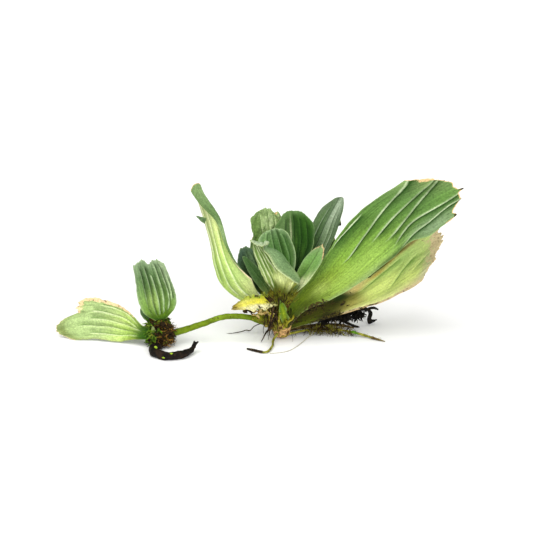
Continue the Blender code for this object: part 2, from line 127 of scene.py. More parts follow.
def leaf(name, guide, faces, half_width, outline, cells, upper, under, guide_v=0.0, cup=(20, 10),
         crease=(0, 0), roll=None, pleats=0, pleat_height=0.0, pleat_start=0.2, tip_pull=0.12, tip_skew=0.0,
         ripple=0.0, notch=None, rests=False, veins=(), worn_tip=0.0, worn_sides=0.0, dry=(0, 0, 0),
         tints_and_shading=(), muds_and_shadows=(), dries=(), thick=(1.6, 0.7), seed=1, wave=0.0, tear=None, hem=0.5, crinkle=0.0,
         trim=([1, 1], [1, 1]), tugs=(), node=True):
    """A leaf: a grid placed along its guide line, folded, worn at its rim, and given a wall.

    Lengths are in millimetres. t runs from the leaf's base (0) to its tip (1), and v across the
    blade from one margin (-1) to the other (1)."""
    bpy.ops.object.select_all(action="DESELECT")
    bpy.ops.mesh.primitive_grid_add(x_subdivisions=cells[1], y_subdivisions=cells[0], size=2)
    piece = bpy.context.object
    piece.name = piece.data.name = name + "_skin"
    flat = np.empty(len(piece.data.vertices) * 3)
    piece.data.vertices.foreach_get("co", flat)
    v, t = flat[0::3], (flat[1::3] + 1) / 2
    guide = np.array(guide) * MM
    length = np.linalg.norm(np.diff(guide, axis=0), axis=1).sum()

    # How far along the guide each corner lies, with the tip's shape and its worn edge
    slanted = v if tip_skew > 0 else -v
    end = t * (1 - tip_pull * np.abs(v) ** 3 - abs(tip_skew) * ((1 + slanted) / 2) ** 2)
    if notch:
        end -= notch[1] * t**8 * np.exp(-(((v - notch[0]) / 0.16) ** 2))
    worn = wander(v, seed, 0.35) + 0.6 * wander(v, seed + 3, 0.09) + 0.35 * wander(v, seed + 5, 0.03)
    end += worn_tip * worn * MM / length * smooth(0.75, 1, t)
    if tear:
        tear_v, tear_wide, tear_deep = tear
        ragged = tear_deep * (1 + 0.12 * wander(v, seed + 7, 0.12))
        end -= ragged * smooth(tear_v - tear_wide, tear_v + tear_wide, v) * t**3
    pull = np.zeros_like(t)
    for t0, v0, onward, outward, long, wide in tugs:
        share = patches(t, v, [(t0, v0, long, wide, 1)])
        end += onward * MM / length * share
        pull += outward * MM * share
    past_end = np.maximum(end - 1, 0) * length
    end = np.clip(end, 0, 1)

    # Which way the leaf runs, faces and spreads there, and how wide it is
    step = 0.01
    ahead = between(guide, np.minimum(end + step, 1)) - between(guide, np.maximum(end - step, 0))
    ahead /= np.linalg.norm(ahead, axis=1)[:, None]
    facing = between(faces, end)
    up = facing - ahead * (facing * ahead).sum(1)[:, None]
    up /= np.linalg.norm(up, axis=1)[:, None]
    sideways = np.cross(ahead, up)
    wide_bites = wander(t, seed + 11, 0.25) * (v > 0) + wander(t, seed + 13, 0.25) * (v < 0)
    small_bites = wander(t, seed + 17, 0.06) * (v > 0) + wander(t, seed + 19, 0.06) * (v < 0)
    sides = 1 + worn_sides * wide_bites * np.abs(v) ** 3
    sides += 0.5 * worn_sides * small_bites * np.abs(v) ** 6
    sides *= np.where(v < guide_v, between(trim[0], end), between(trim[1], end))
    width = half_width * MM * between(outline, end) * sides

    def turn(a):
        """How far the blade is turned up, at a from -1 to 1 across it: cupped, creased and rolled."""
        creased = np.where(a < 0, crease[0], crease[1]) * np.tanh(np.abs(a) / 0.15)
        angle = np.sign(a) * (between(cup, end) * np.abs(a) + creased)
        if roll:
            roll_side, degrees, line, start, wide = roll
            past = roll_side * (a - between(line, end))
            angle += roll_side * degrees * smooth(0, wide, past) * smooth(start, start + 0.25, end)
        return np.radians(angle)

    # From the guide line outwards, the blade follows its turns in short strides
    walk = 16
    stride = (v - guide_v) / walk
    reach, rise = np.zeros_like(t), np.zeros_like(t)
    for i in range(walk):
        angle = turn(guide_v + (i + 0.5) * stride)
        reach += np.cos(angle) * stride * width
        rise += np.sin(angle) * stride * width
    lift, crest_pale_and_lit, furrow_shade = vein_folds(t, v, veins, 0.22 / half_width)
    bump = pleat_height * smooth(pleat_start, pleat_start + 0.35, t) * np.cos(np.pi * pleats * v)
    bump += ripple * np.abs(v) ** 3 * np.sin(9 * t + 2 * v) * smooth(0.2, 0.6, t)
    if crinkle:
        grain = [noise.noise(Vector((0.45 * a, 0.16 * b, seed)))
                 + 0.5 * noise.noise(Vector((1.1 * a, 0.5 * b, seed)))
                 for a, b in zip(v * half_width, t * length / MM)]
        bump += crinkle * np.array(grain) * smooth(0.05, 0.3, t)
    waves = wander(v, seed + 23, 0.5) * smooth(0.5, 1, t) + np.abs(v) ** 2 * wander(t, seed + 29, 0.3)
    bump += lift + wave * waves
    angle = turn(v)
    reach -= np.sin(angle) * bump * MM
    rise += np.cos(angle) * bump * MM
    spots = between(guide, end) + ahead * past_end[:, None]
    spots = spots + sideways * (reach + pull)[:, None] + up * rise[:, None]
    if rests:
        half_a_wall = 0.4 * MM
        spots[:, 2] = np.maximum(spots[:, 2], half_a_wall)
    piece.data.vertices.foreach_set("co", spots.ravel())

    # What the skin shows: crests, pale with a painted highlight; furrows in painted shade; dry rims; darker
    # washes and other tints, some of them painted light and shade; and mud, on some leaves painted shadow
    left, right, tip = dry
    inside = (1 - np.abs(v)) * half_width * between(outline, end)
    from_tip = (1 - t) * length / MM
    rim = np.zeros_like(t)
    if left:
        rim = np.maximum(rim, np.where(v < 0, 1 - inside / left, 0) * smooth(0.1, 0.35, t))
    if right:
        rim = np.maximum(rim, np.where(v > 0, 1 - inside / right, 0) * smooth(0.25, 0.5, t))
    if tip:
        rim = np.maximum(rim, 1 - from_tip / tip)
    rim = np.maximum(rim, patches(t, v, dries))
    pale_hem = np.exp(-np.minimum(inside, from_tip) / max(hem, 0.01)) * (hem > 0) * smooth(0.1, 0.3, t)
    marks = {"crest_pale_and_lit": crest_pale_and_lit, "furrow_shade": furrow_shade, "dry": rim, "hem": pale_hem, "mud_and_shadow": patches(t, v, muds_and_shadows)}
    for mark, values in marks.items():
        piece.data.attributes.new(mark, "FLOAT", "POINT").data.foreach_set("value", np.clip(values, 0, 1))
    tint_and_shading = piece.data.attributes.new("tint_and_shading", "FLOAT_COLOR", "POINT")
    tint_and_shading.data.foreach_set("color", tinted(t, v, tints_and_shading).ravel())

    # The wall is thick along the middle of the base, and thins towards the tip and the margins
    piece.data.materials.append(leaf_skin(name + " upper side", **upper))
    piece.data.materials.append(leaf_skin(name + " underside", **{"streak": 0.5, **under}))
    fullness = piece.vertex_groups.new(name="fullness")
    thinnest = thick[1] / thick[0]
    full = thinnest + (1 - thinnest) * (1 - t) ** 1.5
    full *= smooth(-0.6, 1.6, np.minimum(inside, from_tip))
    for i, share in enumerate(full):
        fullness.add([i], share, "REPLACE")
    wall = piece.modifiers.new("wall", "SOLIDIFY")
    wall.thickness = thick[0] * MM
    wall.offset = 0
    wall.vertex_group = fullness.name
    wall.thickness_vertex_group = 0.1
    wall.material_offset = 1
    wall.material_offset_rim = 1
    bpy.ops.object.modifier_apply(modifier=wall.name)
    bpy.ops.object.shade_smooth_by_angle(angle=math.radians(50))
    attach(piece, "root")
    if node:
        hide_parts(name)


def paint(red, green, blue):
    """A colour as it looks under the lamps, 0 to 255, turned into the share of light given back."""
    parts = [c / 255 for c in (red, green, blue)]
    return tuple(p / 12.92 if p < 0.04045 else ((p + 0.055) / 1.055) ** 2.4 for p in parts) + (1.0,)


class Nodes:
    """A material's node tree, with one short call for each kind of node."""

    def __init__(self, name):
        self.material = bpy.data.materials.new(name)
        self.material.use_nodes = True
        self.tree = self.material.node_tree
        self.shader = self.tree.nodes["Principled BSDF"]

    def add(self, kind, **settings):
        made = self.tree.nodes.new(kind)
        for key, value in settings.items():
            setattr(made, key, value)
        return made

    def join(self, out, into):
        self.tree.links.new(out, into)

    def noise(self, scale, detail=2.0, coords=None, rough=0.5):
        made = self.add("ShaderNodeTexNoise")
        made.inputs["Scale"].default_value = scale
        made.inputs["Detail"].default_value = detail
        made.inputs["Roughness"].default_value = rough
        self.join(coords or self.add("ShaderNodeTexCoord").outputs["Object"], made.inputs["Vector"])
        return made.outputs["Fac"]

    def ramp(self, value, stops):
        made = self.add("ShaderNodeValToRGB")
        while len(made.color_ramp.elements) < len(stops):
            made.color_ramp.elements.new(0.5)
        for element, (place, shade) in zip(made.color_ramp.elements, stops):
            element.position = place
            element.color = shade
        self.join(value, made.inputs["Fac"])
        return made.outputs["Color"]

    def math(self, kind, a, b):
        made = self.add("ShaderNodeMath", operation=kind)
        for value, socket in ((a, made.inputs[0]), (b, made.inputs[1])):
            if isinstance(value, (int, float)):
                socket.default_value = value
            else:
                self.join(value, socket)
        return made.outputs[0]

    def mix(self, share, a, b, kind="MIX"):
        made = self.add("ShaderNodeMix", data_type="RGBA", blend_type=kind)
        for value, socket in ((share, made.inputs[0]), (a, made.inputs[6]), (b, made.inputs[7])):
            if isinstance(value, (int, float, tuple)):
                socket.default_value = value
            else:
                self.join(value, socket)
        return made.outputs[2]

    def mark(self, name):
        return self.add("ShaderNodeAttribute", attribute_name=name).outputs["Fac"]

    def spread(self, value, amount):
        """The value about its middle of a half, times the amount."""
        return self.math("MULTIPLY", self.math("SUBTRACT", value, 0.5), amount)

    def place(self, x, y):
        made = self.add("ShaderNodeCombineXYZ")
        self.join(x, made.inputs[0])
        self.join(y, made.inputs[1])
        return made.outputs[0]

    def limit(self, value, low, high):
        """0 where value is under low, 1 over high."""
        made = self.add("ShaderNodeMapRange", clamp=True)
        made.inputs["From Min"].default_value = low
        made.inputs["From Max"].default_value = high
        self.join(value, made.inputs["Value"])
        return made.outputs["Result"]

    def bump(self, height, strength, distance):
        made = self.add("ShaderNodeBump")
        made.inputs["Strength"].default_value = strength
        made.inputs["Distance"].default_value = distance
        self.join(height, made.inputs["Height"])
        self.join(made.outputs["Normal"], self.shader.inputs["Normal"])

    def finish(self, shade, rough):
        """The colour and gloss of living or dead tissue: no more shine than a damp surface has."""
        self.join(shade, self.shader.inputs["Base Color"])
        self.shader.inputs["Roughness"].default_value = rough
        self.shader.inputs["Specular IOR Level"].default_value = 0.12


GREY_LOW, GREY_HIGH = (0.55, 0.55, 0.55, 1), (1.35, 1.35, 1.35, 1)


def leaf_skin(name, along, crest_pale_and_lit, furrow_shade, edge=(150, 180, 110), dry=(205, 175, 125), slant=0.0, streak=0.3,
              crest_share=0.8, furrow_shade_share=0.8, edge_share=0.5, patchy=0.12, lines=26, felt=0.6, net=0.35):
    """The felted skin of a leaf: its colour along the blade, and everything that marks it."""
    skin = Nodes(name)
    place = skin.add("ShaderNodeSeparateXYZ")
    skin.join(skin.add("ShaderNodeUVMap", uv_map="UVMap").outputs["UV"], place.inputs[0])
    across, up_leaf = place.outputs["X"], place.outputs["Y"]
    level = skin.math("ADD", up_leaf, skin.spread(skin.noise(140, 3), patchy))
    level = skin.math("SUBTRACT", level, skin.spread(across, slant))
    shade = skin.ramp(level, [(height, paint(*rgb)) for height, rgb in along])
    # The tints, some of them painted light and shade, laid over the colour along the blade
    tint_and_shading = skin.add("ShaderNodeAttribute", attribute_name="tint_and_shading")
    shade = skin.mix(tint_and_shading.outputs["Alpha"], shade, tint_and_shading.outputs["Color"])

    # Fine veins: streaks that run up the leaf
    stretched = skin.place(skin.math("MULTIPLY", across, lines), skin.math("MULTIPLY", up_leaf, 2.2))
    fine = skin.noise(1.0, 4, stretched, 0.6)
    shade = skin.mix(streak, shade, skin.ramp(fine, [(0.34, GREY_LOW), (0.66, GREY_HIGH)]), "MULTIPLY")

    # The net of little veins between them
    mesh = skin.add("ShaderNodeTexVoronoi", feature="DISTANCE_TO_EDGE")
    mesh.inputs["Scale"].default_value = 1.0
    skin.join(skin.place(skin.math("MULTIPLY", across, lines * 0.55),
                         skin.math("MULTIPLY", up_leaf, lines * 1.3)), mesh.inputs["Vector"])
    cells = skin.limit(mesh.outputs["Distance"], 0.0, 0.2)
    netted = skin.ramp(cells, [(0.0, GREY_LOW), (0.5, (1.05, 1.05, 1.05, 1))])
    shade = skin.mix(net, shade, netted, "MULTIPLY")
    # Painted shade in the furrows, the pale hem, then the crests' pale colour with a painted highlight
    for mark, share, seen in (("furrow_shade", furrow_shade_share, furrow_shade), ("hem", edge_share, edge),
                              ("crest_pale_and_lit", crest_share, crest_pale_and_lit)):
        shade = skin.mix(skin.math("MULTIPLY", skin.mark(mark), share), shade, paint(*seen))

    # The felt: fine grain that lightens and darkens the green
    grain = skin.noise(1300, 4, rough=0.8)
    shade = skin.mix(felt, shade, skin.ramp(grain, [(0.36, GREY_LOW), (0.64, GREY_HIGH)]), "MULTIPLY")

    # Dry rims with brown specks, then mud and rot; on some leaves the same dark mark is painted shadow
    torn = skin.spread(skin.noise(700, 3), 1.1)
    rim = skin.limit(skin.math("ADD", skin.mark("dry"), torn), 0.3, 0.5)
    speck, pale = (96, 62, 34), [min(255, 1.12 * c) for c in dry]
    papery = skin.ramp(skin.noise(900, 3), [(0.3, paint(*speck)), (0.4, paint(*dry)), (0.7, paint(*pale))])
    shade = skin.mix(rim, shade, papery)
    smear = skin.spread(skin.noise(620, 4, rough=0.65), 1.6)
    mud_and_shadow = skin.limit(skin.math("ADD", skin.mark("mud_and_shadow"), smear), 0.45, 0.6)
    mud_and_shadow = skin.math("MULTIPLY", mud_and_shadow, skin.limit(skin.mark("mud_and_shadow"), 0.03, 0.12))
    mud_and_shadow_colour = skin.ramp(skin.noise(1500, 2), [(0.38, paint(20, 17, 10)), (0.7, paint(88, 78, 26))])
    shade = skin.mix(mud_and_shadow, shade, mud_and_shadow_colour)

    skin.finish(shade, 0.66)
    skin.shader.inputs["Sheen Weight"].default_value = 0.02
    skin.shader.inputs["Sheen Roughness"].default_value = 0.5
    relief = skin.math("ADD", skin.math("MULTIPLY", fine, 0.8), skin.math("MULTIPLY", grain, 0.6))
    skin.bump(skin.math("ADD", relief, skin.math("MULTIPLY", cells, 0.25)), 0.9, 0.0007)
    return skin.material


leaf("broad_right_leaf", half_width=13, cup=(50, 20, 5, 0), pleats=5, pleat_height=0.2, pleat_start=0.35,
     tip_pull=0.1, tip_skew=-0.05, cells=(190, 210), worn_tip=0.7, worn_sides=0.03,
     dry=(0, 0, 0.05), wave=0.5, seed=2, hem=0.3, crinkle=0.2, thick=(2.1, 0.7),
     guide=[(2.6, -4.6, 8.5), (8.8, -6.2, 18.6), (19.5, -5.2, 27.5), (29.5, -4.8, 37.5), (38.7, -4, 48),
            (49.5, -2.8, 57.5), (62, -1.5, 65.5), (77.5, 0, 74)],
     faces=[(-0.4, -0.75, 0.5), (-0.25, -0.88, 0.35), (-0.3, -0.85, 0.42)],
     outline=[0.17, 0.33, 0.56, 0.80, 0.95, 1, 1, 1],
     veins=[([(0.5, -0.93), (0.57, -0.9), (0.64, -0.85), (0.7, -0.86)], 0.5, 1),
            ([(0.44, -0.14), (0.5, -0.2), (0.56, -0.25), (0.64, -0.32), (0.71, -0.42), (0.81, -0.65),
              (0.92, -0.84), (1, -0.95)], 1.6, 1),
            ([(0.6, 0.12), (0.65, 0.02), (0.72, -0.06), (0.78, -0.12), (0.87, -0.31), (0.94, -0.46),
              (1, -0.6)], 1.7, 1),
            ([(0.65, 0.42), (0.73, 0.27), (0.83, 0.07), (0.89, -0.17), (0.94, -0.34), (1, -0.5)], 1.7, 1),
            ([(0.68, 0.72), (0.71, 0.6), (0.76, 0.46), (0.82, 0.39), (0.91, 0.38), (1, 0.33)], 1.4, 1),
            ([(0.74, 0.96), (0.82, 0.8), (0.87, 0.63), (0.93, 0.55), (1, 0.52)], 0.8, 1)],
     tugs=[(0.97, -0.7, -0.8, 1.8, 0.1, 0.3), (1, 0.26, 2.6, 0, 0.015, 0.03),
           (1, 0.52, 0.8, 0, 0.02, 0.04), (1, 0.72, -1.6, 0, 0.08, 0.1), (1, 0.89, 1.8, 0.6, 0.08, 0.08),
           (0.9, 1, 0, 1.4, 0.07, 0.5), (0.8, 1, 0, -1, 0.06, 0.4)],
     # Painted light among these tints: the bright middle at t 0.46 is a painted highlight; the dark band
     # along the upper margin (t 0.56) and the dark patch in a furrow at t 0.68 are painted shade; the dark
     # line on the lower margin at t 0.67 is painted shadow in the gap over the old leaf.
     tints_and_shading=[(0.46, 0.5, 0.24, 0.45, 0.65, (160, 194, 90)), (0.36, -0.8, 0.08, 0.25, 0.6, (128, 156, 68)),
            (0.56, -0.8, 0.36, 0.3, 0.8, (76, 112, 44)), (0.5, 1, 0.2, 0.2, 0.8, (142, 164, 100)),
            (0.68, -0.2, 0.1, 0.1, 0.6, (84, 122, 46)), (0.24, -0.6, 0.08, 0.4, 0.7, (86, 106, 20)),
            (0.27, 0.02, 0.05, 0.36, 0.75, (166, 186, 92)), (0.18, 0.45, 0.06, 0.35, 0.85, (70, 82, 6)),
            (0.9, 0.8, 0.12, 0.26, 0.8, (150, 172, 132)), (0.98, -0.5, 0.06, 0.5, 0.5, (150, 170, 104)),
            (0.96, 0.2, 0.1, 0.3, 0.6, (90, 134, 50)), (0.67, 1, 0.14, 0.1, 0.95, (34, 56, 8))],
     muds_and_shadows=[(0.06, 1, 0.08, 0.4, 0.7), (0.22, 1, 0.09, 0.3, 0.8), (0.04, -0.9, 0.06, 0.4, 0.7),
           (1, 0.26, 0.014, 0.03, 0.9), (1, 0.54, 0.012, 0.04, 0.8), (1, 0.88, 0.014, 0.06, 0.8)],
     dries=[(1, -0.72, 0.025, 0.14, 0.9), (1, 0.4, 0.006, 0.5, 0.45)],
     upper=dict(along=[(0, (58, 70, 6)), (0.12, (78, 96, 8)), (0.22, (96, 116, 16)),
                       (0.32, (124, 148, 44)), (0.5, (126, 164, 60)), (0.66, (106, 146, 58)),
                       (0.84, (100, 138, 68)), (1, (118, 150, 88))], crest_pale_and_lit=(226, 242, 196),
                furrow_shade=(26, 64, 8), slant=0.16, streak=0.6, crest_share=1.0, furrow_shade_share=1.0, felt=0.5),
     under=dict(along=[(0, (60, 66, 12)), (0.26, (96, 108, 40)), (0.44, (176, 200, 120)),
                       (1, (158, 184, 128))], crest_pale_and_lit=(206, 222, 178), furrow_shade=(120, 150, 84), felt=0.35))

# The old right leaf: the oldest one, lowest in the rosette. It has yellowed, its margins have dried
# to brown paper with black specks, its tip is torn, and its base is streaked with mud and rot.
leaf("old_right_leaf", half_width=10.3, cup=(30, 25, 15, 10), pleats=3, pleat_height=0.3, pleat_start=0.3,
     tip_pull=0.02, tip_skew=0.16, ripple=0.6, cells=(170, 110), worn_tip=1.2,
     worn_sides=0.07, dry=(0.8, 1.7, 1), wave=0.6, seed=9, crinkle=0.25, thick=(2, 0.6),
     guide=[(2.5, 2, 5.8), (11, 3.5, 8), (21, 5.5, 11.3), (32, 7.5, 15), (42, 9, 20), (53, 10.5, 27.5),
            (62.5, 11.5, 34.5), (76, 12, 46)],
     faces=[(-0.2, -0.8, 0.55), (-0.25, -0.8, 0.55), (-0.3, -0.8, 0.5)],
     outline=[0.22, 0.29, 0.42, 0.68, 0.93, 1, 0.95, 0.84],
     trim=([2.4, 2.1, 1.5, 0.92, 0.82, 0.87, 0.92], [1, 0.95, 0.8, 0.7, 0.82, 0.96, 1, 1]),
     veins=[([(0.5, -0.3), (0.6, -0.45), (0.69, -0.54), (0.8, -0.6)], 0.6, 1),
            ([(0.69, 0.44), (0.74, 0.16), (0.79, -0.07), (0.83, -0.17), (0.88, -0.27)], 2, 1),
            ([(0.86, 0.3), (0.9, 0.2), (0.94, 0.1)], 0.5, 1)],
     # Painted shadow under the broad leaf among these tints: the darker green wash at t 0.7 and 0.82 (v
     # -0.5), and the dark greens along the upper margin at t 0.37 to 0.41 and 0.66 to 0.79, in the gap under
     # its margin.
     tints_and_shading=[(0.7, -0.5, 0.14, 0.3, 0.7, (160, 190, 104)), (0.82, -0.5, 0.1, 0.3, 0.7, (150, 182, 100)),
            (0.85, -0.05, 0.08, 0.14, 0.7, (122, 158, 72)), (0.62, 0.3, 0.12, 0.4, 0.6, (224, 238, 136)),
            (0.85, 0.5, 0.1, 0.3, 0.7, (222, 236, 130)), (0.5, -0.85, 0.12, 0.22, 0.9, (226, 204, 140)),
            (0.2, 0, 0.12, 1.5, 0.6, (72, 72, 10)), (0.16, 0.6, 0.14, 0.5, 0.85, (92, 106, 14)),
            (0.41, -0.5, 0.04, 0.14, 0.85, (40, 58, 8)), (0.5, -0.62, 0.06, 0.2, 0.85, (214, 202, 130)),
            (0.47, 0.4, 0.08, 0.4, 0.7, (176, 162, 82)), (0.5, -0.55, 0.04, 0.12, 0.85, (200, 178, 108)),
            (0.64, -0.6, 0.06, 0.08, 0.85, (178, 142, 66)),
            (0.72, -0.73, 0.06, 0.08, 0.85, (178, 140, 64)),
            (0.81, -0.82, 0.06, 0.08, 0.85, (168, 134, 66)),
            (0.89, -0.86, 0.05, 0.1, 0.85, (160, 134, 76)), (0.66, -0.84, 0.14, 0.08, 0.9, (60, 66, 12)),
            (0.74, -0.98, 0.16, 0.08, 0.9, (36, 30, 8)), (0.37, -0.36, 0.05, 0.1, 0.9, (36, 50, 8)),
            (0.62, 0.86, 0.2, 0.2, 0.75, (226, 226, 152)), (0.3, 0.6, 0.06, 0.3, 0.9, (30, 30, 6)),
            (0.88, 0.9, 0.1, 0.2, 0.8, (196, 184, 130)), (0.39, -0.47, 0.05, 0.16, 1, (30, 48, 6)),
            (0.67, -0.74, 0.07, 0.08, 0.95, (44, 70, 14)), (0.79, -0.85, 0.08, 0.07, 0.95, (60, 78, 14))],
     # The muds at t 0.47, 0.62 and 0.71 on the upper margin are painted shadow in that gap; the rest are mud
     # and rot.
     muds_and_shadows=[(0.6, 0.97, 0.16, 0.1, 0.5), (0.4, -0.05, 0.03, 0.14, 0.75), (0.42, 0.3, 0.03, 0.14, 0.6),
           (0.47, -0.5, 0.03, 0.1, 0.5), (0.62, -0.74, 0.06, 0.07, 0.75), (0.71, -0.87, 0.06, 0.07, 0.75),
           (0.38, 0.9, 0.07, 0.25, 1), (0.22, 0.3, 0.1, 0.3, 0.6), (0.2, -0.6, 0.13, 0.5, 0.85),
           (0.31, 0.95, 0.12, 0.35, 0.9), (0.3, 0.2, 0.05, 0.5, 0.6), (0.36, 0.75, 0.07, 0.3, 0.9),
           (0.1, 0.2, 0.05, 0.5, 0.5)], dries=[(1, -0.1, 0.06, 0.9, 0.9), (0.6, -1, 0.14, 0.2, 0.9)],
     upper=dict(along=[(0, (40, 46, 3)), (0.26, (50, 54, 6)), (0.41, (60, 64, 12)),
                       (0.46, (116, 116, 44)), (0.51, (170, 176, 92)), (0.57, (214, 226, 124)),
                       (0.68, (216, 232, 130)), (0.8, (196, 214, 124)), (0.92, (184, 200, 120)),
                       (1, (176, 176, 140))], crest_pale_and_lit=(226, 240, 160), furrow_shade=(96, 134, 54),
                dry=(184, 168, 128), slant=-0.1, edge_share=0, crest_share=0.6, felt=0.35, net=0.12),
     under=dict(along=[(0, (110, 104, 50)), (0.3, (186, 190, 120)), (1, (176, 178, 128))],
                crest_pale_and_lit=(214, 220, 170), furrow_shade=(140, 150, 90), dry=(196, 166, 116), felt=0.35))

# The tall left leaf shows its pale, ridged underside. Its near margin is rolled outwards and its
# tip folded over, so the upper side shows there, its own green darkened with painted shade, and a
# torn flap stands out on the left.
leaf("tall_left_leaf", guide_v=-0.17, half_width=10.4, cup=(40, 55, 50, 40), pleats=3, pleat_height=0.3,
     pleat_start=0.0, tip_pull=0.02, tip_skew=0.06, cells=(180, 130), worn_tip=0.4,
     worn_sides=0.03, dry=(0, 0.25, 0.2), seed=15, hem=0.4, crinkle=0.14, thick=(1.9, 0.6),
     guide=[(-4.5, 1.5, 12), (-14, 0.5, 18.5), (-22, -1.8, 26.2), (-26.2, -3.8, 36), (-28.6, -4, 46),
            (-30.8, -4, 56), (-33.4, -3, 65), (-36.2, -2, 75.6)],
     faces=[(0.5, 0.8, 0.6), (0.75, 0.6, 0.3), (0.75, 0.6, 0.25)],
     outline=[0.3, 0.72, 1.24, 1.02, 0.78, 0.84, 0.86, 0.66],
     roll=(-1, -165, [-0.98, -0.95, -0.9, -0.86, -0.79, -0.73, -0.66, -0.4, -0.08], 0.2, 0.24),
     veins=[([(0.1, -0.42), (0.3, -0.46), (0.5, -0.5), (0.7, -0.5)], -1.2, -1),
            ([(0.2, -0.1), (0.35, -0.14), (0.6, -0.16), (0.9, -0.12)], -1.2, -1),
            ([(0.3, 0.2), (0.5, 0.22), (0.9, 0.24)], -0.8, -1),
            ([(0.36, 0.52), (0.6, 0.54), (0.97, 0.52)], -0.9, -1),
            ([(0.5, 0.78), (0.7, 0.8), (0.97, 0.78)], -0.6, -1)],
     tugs=[(1, -1, -1.5, 0, 0.1, 0.3)],
     tints_and_shading=[(0.75, 0.6, 0.24, 0.6, 0.8, (226, 228, 172)), (0.35, 0.1, 0.25, 0.5, 0.7, (196, 232, 112)),
            (0.12, -0.75, 0.3, 0.35, 0.9, (220, 228, 168)), (0.6, 0.98, 0.3, 0.1, 0.8, (240, 214, 190)),
            (0.52, -0.92, 0.2, 0.1, 0.8, (96, 130, 66)), (0.15, 0.5, 0.12, 0.6, 0.6, (210, 232, 134)),
            (0.68, -0.95, 0.07, 0.12, 0.7, (178, 206, 142)), (0.2, -0.6, 0.1, 0.3, 0.7, (232, 244, 146))],
     # The upper side's dark greens are its own green with painted shade, for the rolled strip in shadow.
     upper=dict(along=[(0, (60, 92, 40)), (0.4, (64, 98, 50)), (0.8, (96, 126, 72)), (1, (124, 152, 96))],
                crest_pale_and_lit=(140, 168, 110), furrow_shade=(50, 82, 38), edge=(92, 124, 60)),
     under=dict(along=[(0, (206, 212, 100)), (0.15, (216, 240, 126)), (0.35, (200, 234, 118)),
                       (0.6, (214, 236, 136)), (0.8, (232, 240, 168)), (1, (228, 232, 176))],
                crest_pale_and_lit=(246, 248, 214), furrow_shade=(124, 160, 76), edge=(236, 208, 182), dry=(232, 208, 184),
                crest_share=0.75, edge_share=0.7, streak=0.6, lines=34, felt=0.35))
leaf("tall_leaf_flap", half_width=1.3, tip_pull=0.1, cells=(24, 16),
     worn_tip=0.3, worn_sides=0.1, seed=17, node=False, thick=(0.8, 0.5),
     guide=[(-33.6, -4.2, 58), (-35, -5, 59), (-37.6, -5.6, 60.8)],
     faces=[(-0.3, -0.8, 0.5), (-0.2, -0.9, 0.3)], outline=[1, 0.8, 0.15],
     upper=dict(along=[(0, (104, 136, 84)), (1, (96, 130, 96))], crest_pale_and_lit=(140, 168, 110),
                furrow_shade=(60, 92, 44)),
     under=dict(along=[(0, (170, 190, 120)), (1, (150, 178, 120))], crest_pale_and_lit=(200, 216, 166),
                furrow_shade=(110, 140, 80), streak=0.3))

# The leaves at the back of the rosette: a crinkled pale one, a dark one creased along its midrib,
# its own green deepened with painted shade, and the pleated one before them with a fine light rim.
leaf("pale_back_leaf", half_width=7.4, cup=(40, 20, 5), pleats=3, pleat_height=0.25, cells=(110, 90),
     worn_tip=0.7, worn_sides=0.04, seed=21, notch=(0.55, 0.06), wave=0.9, crinkle=0.9,
     thick=(1.4, 0.6),
     guide=[(-0.5, 6, 22), (-3, 11.5, 32.5), (-5, 14.5, 41.5), (-6.3, 16.5, 49.5), (-6.8, 17, 56.7)],
     faces=[(0.1, -1, 0.3), (0.1, -1, 0.2)], outline=[0.3, 0.7, 0.97, 1, 0.85],
     veins=[([(0.5, -0.35), (0.7, -0.32), (0.9, -0.4)], 1.1, -1),
            ([(0.5, 0.1), (0.75, 0.15), (0.96, 0.1)], 1.3, -1),
            ([(0.55, 0.5), (0.75, 0.56), (0.95, 0.5)], 1.3, -1),
            ([(0.6, 0.75), (0.8, 0.8), (0.95, 0.7)], 0.8, -1)],
     tints_and_shading=[(0.7, -0.9, 0.5, 0.35, 0.85, (96, 130, 56)), (0.8, 0.3, 0.14, 0.25, 0.85, (214, 232, 172)),
            (0.79, -0.12, 0.12, 0.16, 0.9, (222, 242, 176)), (0.86, -0.7, 0.1, 0.2, 0.7, (92, 124, 54)),
            (0.66, 0.65, 0.12, 0.15, 0.8, (210, 228, 166)), (0.94, -0.2, 0.05, 0.3, 0.7, (186, 208, 142)),
            (0.7, -0.2, 0.14, 0.12, 0.6, (104, 138, 66)), (0.95, -0.3, 0.08, 0.6, 0.5, (128, 156, 96)),
            (0.86, 0.95, 0.1, 0.14, 0.7, (190, 200, 150))], dries=[(0.97, 0.7, 0.025, 0.12, 0.75)],
     upper=dict(along=[(0, (60, 96, 34)), (0.5, (116, 150, 78)), (0.8, (158, 184, 116)),
                       (1, (142, 170, 106))], crest_pale_and_lit=(222, 238, 180), furrow_shade=(88, 122, 52),
                crest_share=0.7, patchy=0.4),
     under=dict(along=[(0, (150, 176, 96)), (1, (172, 196, 138))], crest_pale_and_lit=(216, 228, 184),
                furrow_shade=(130, 160, 96)))
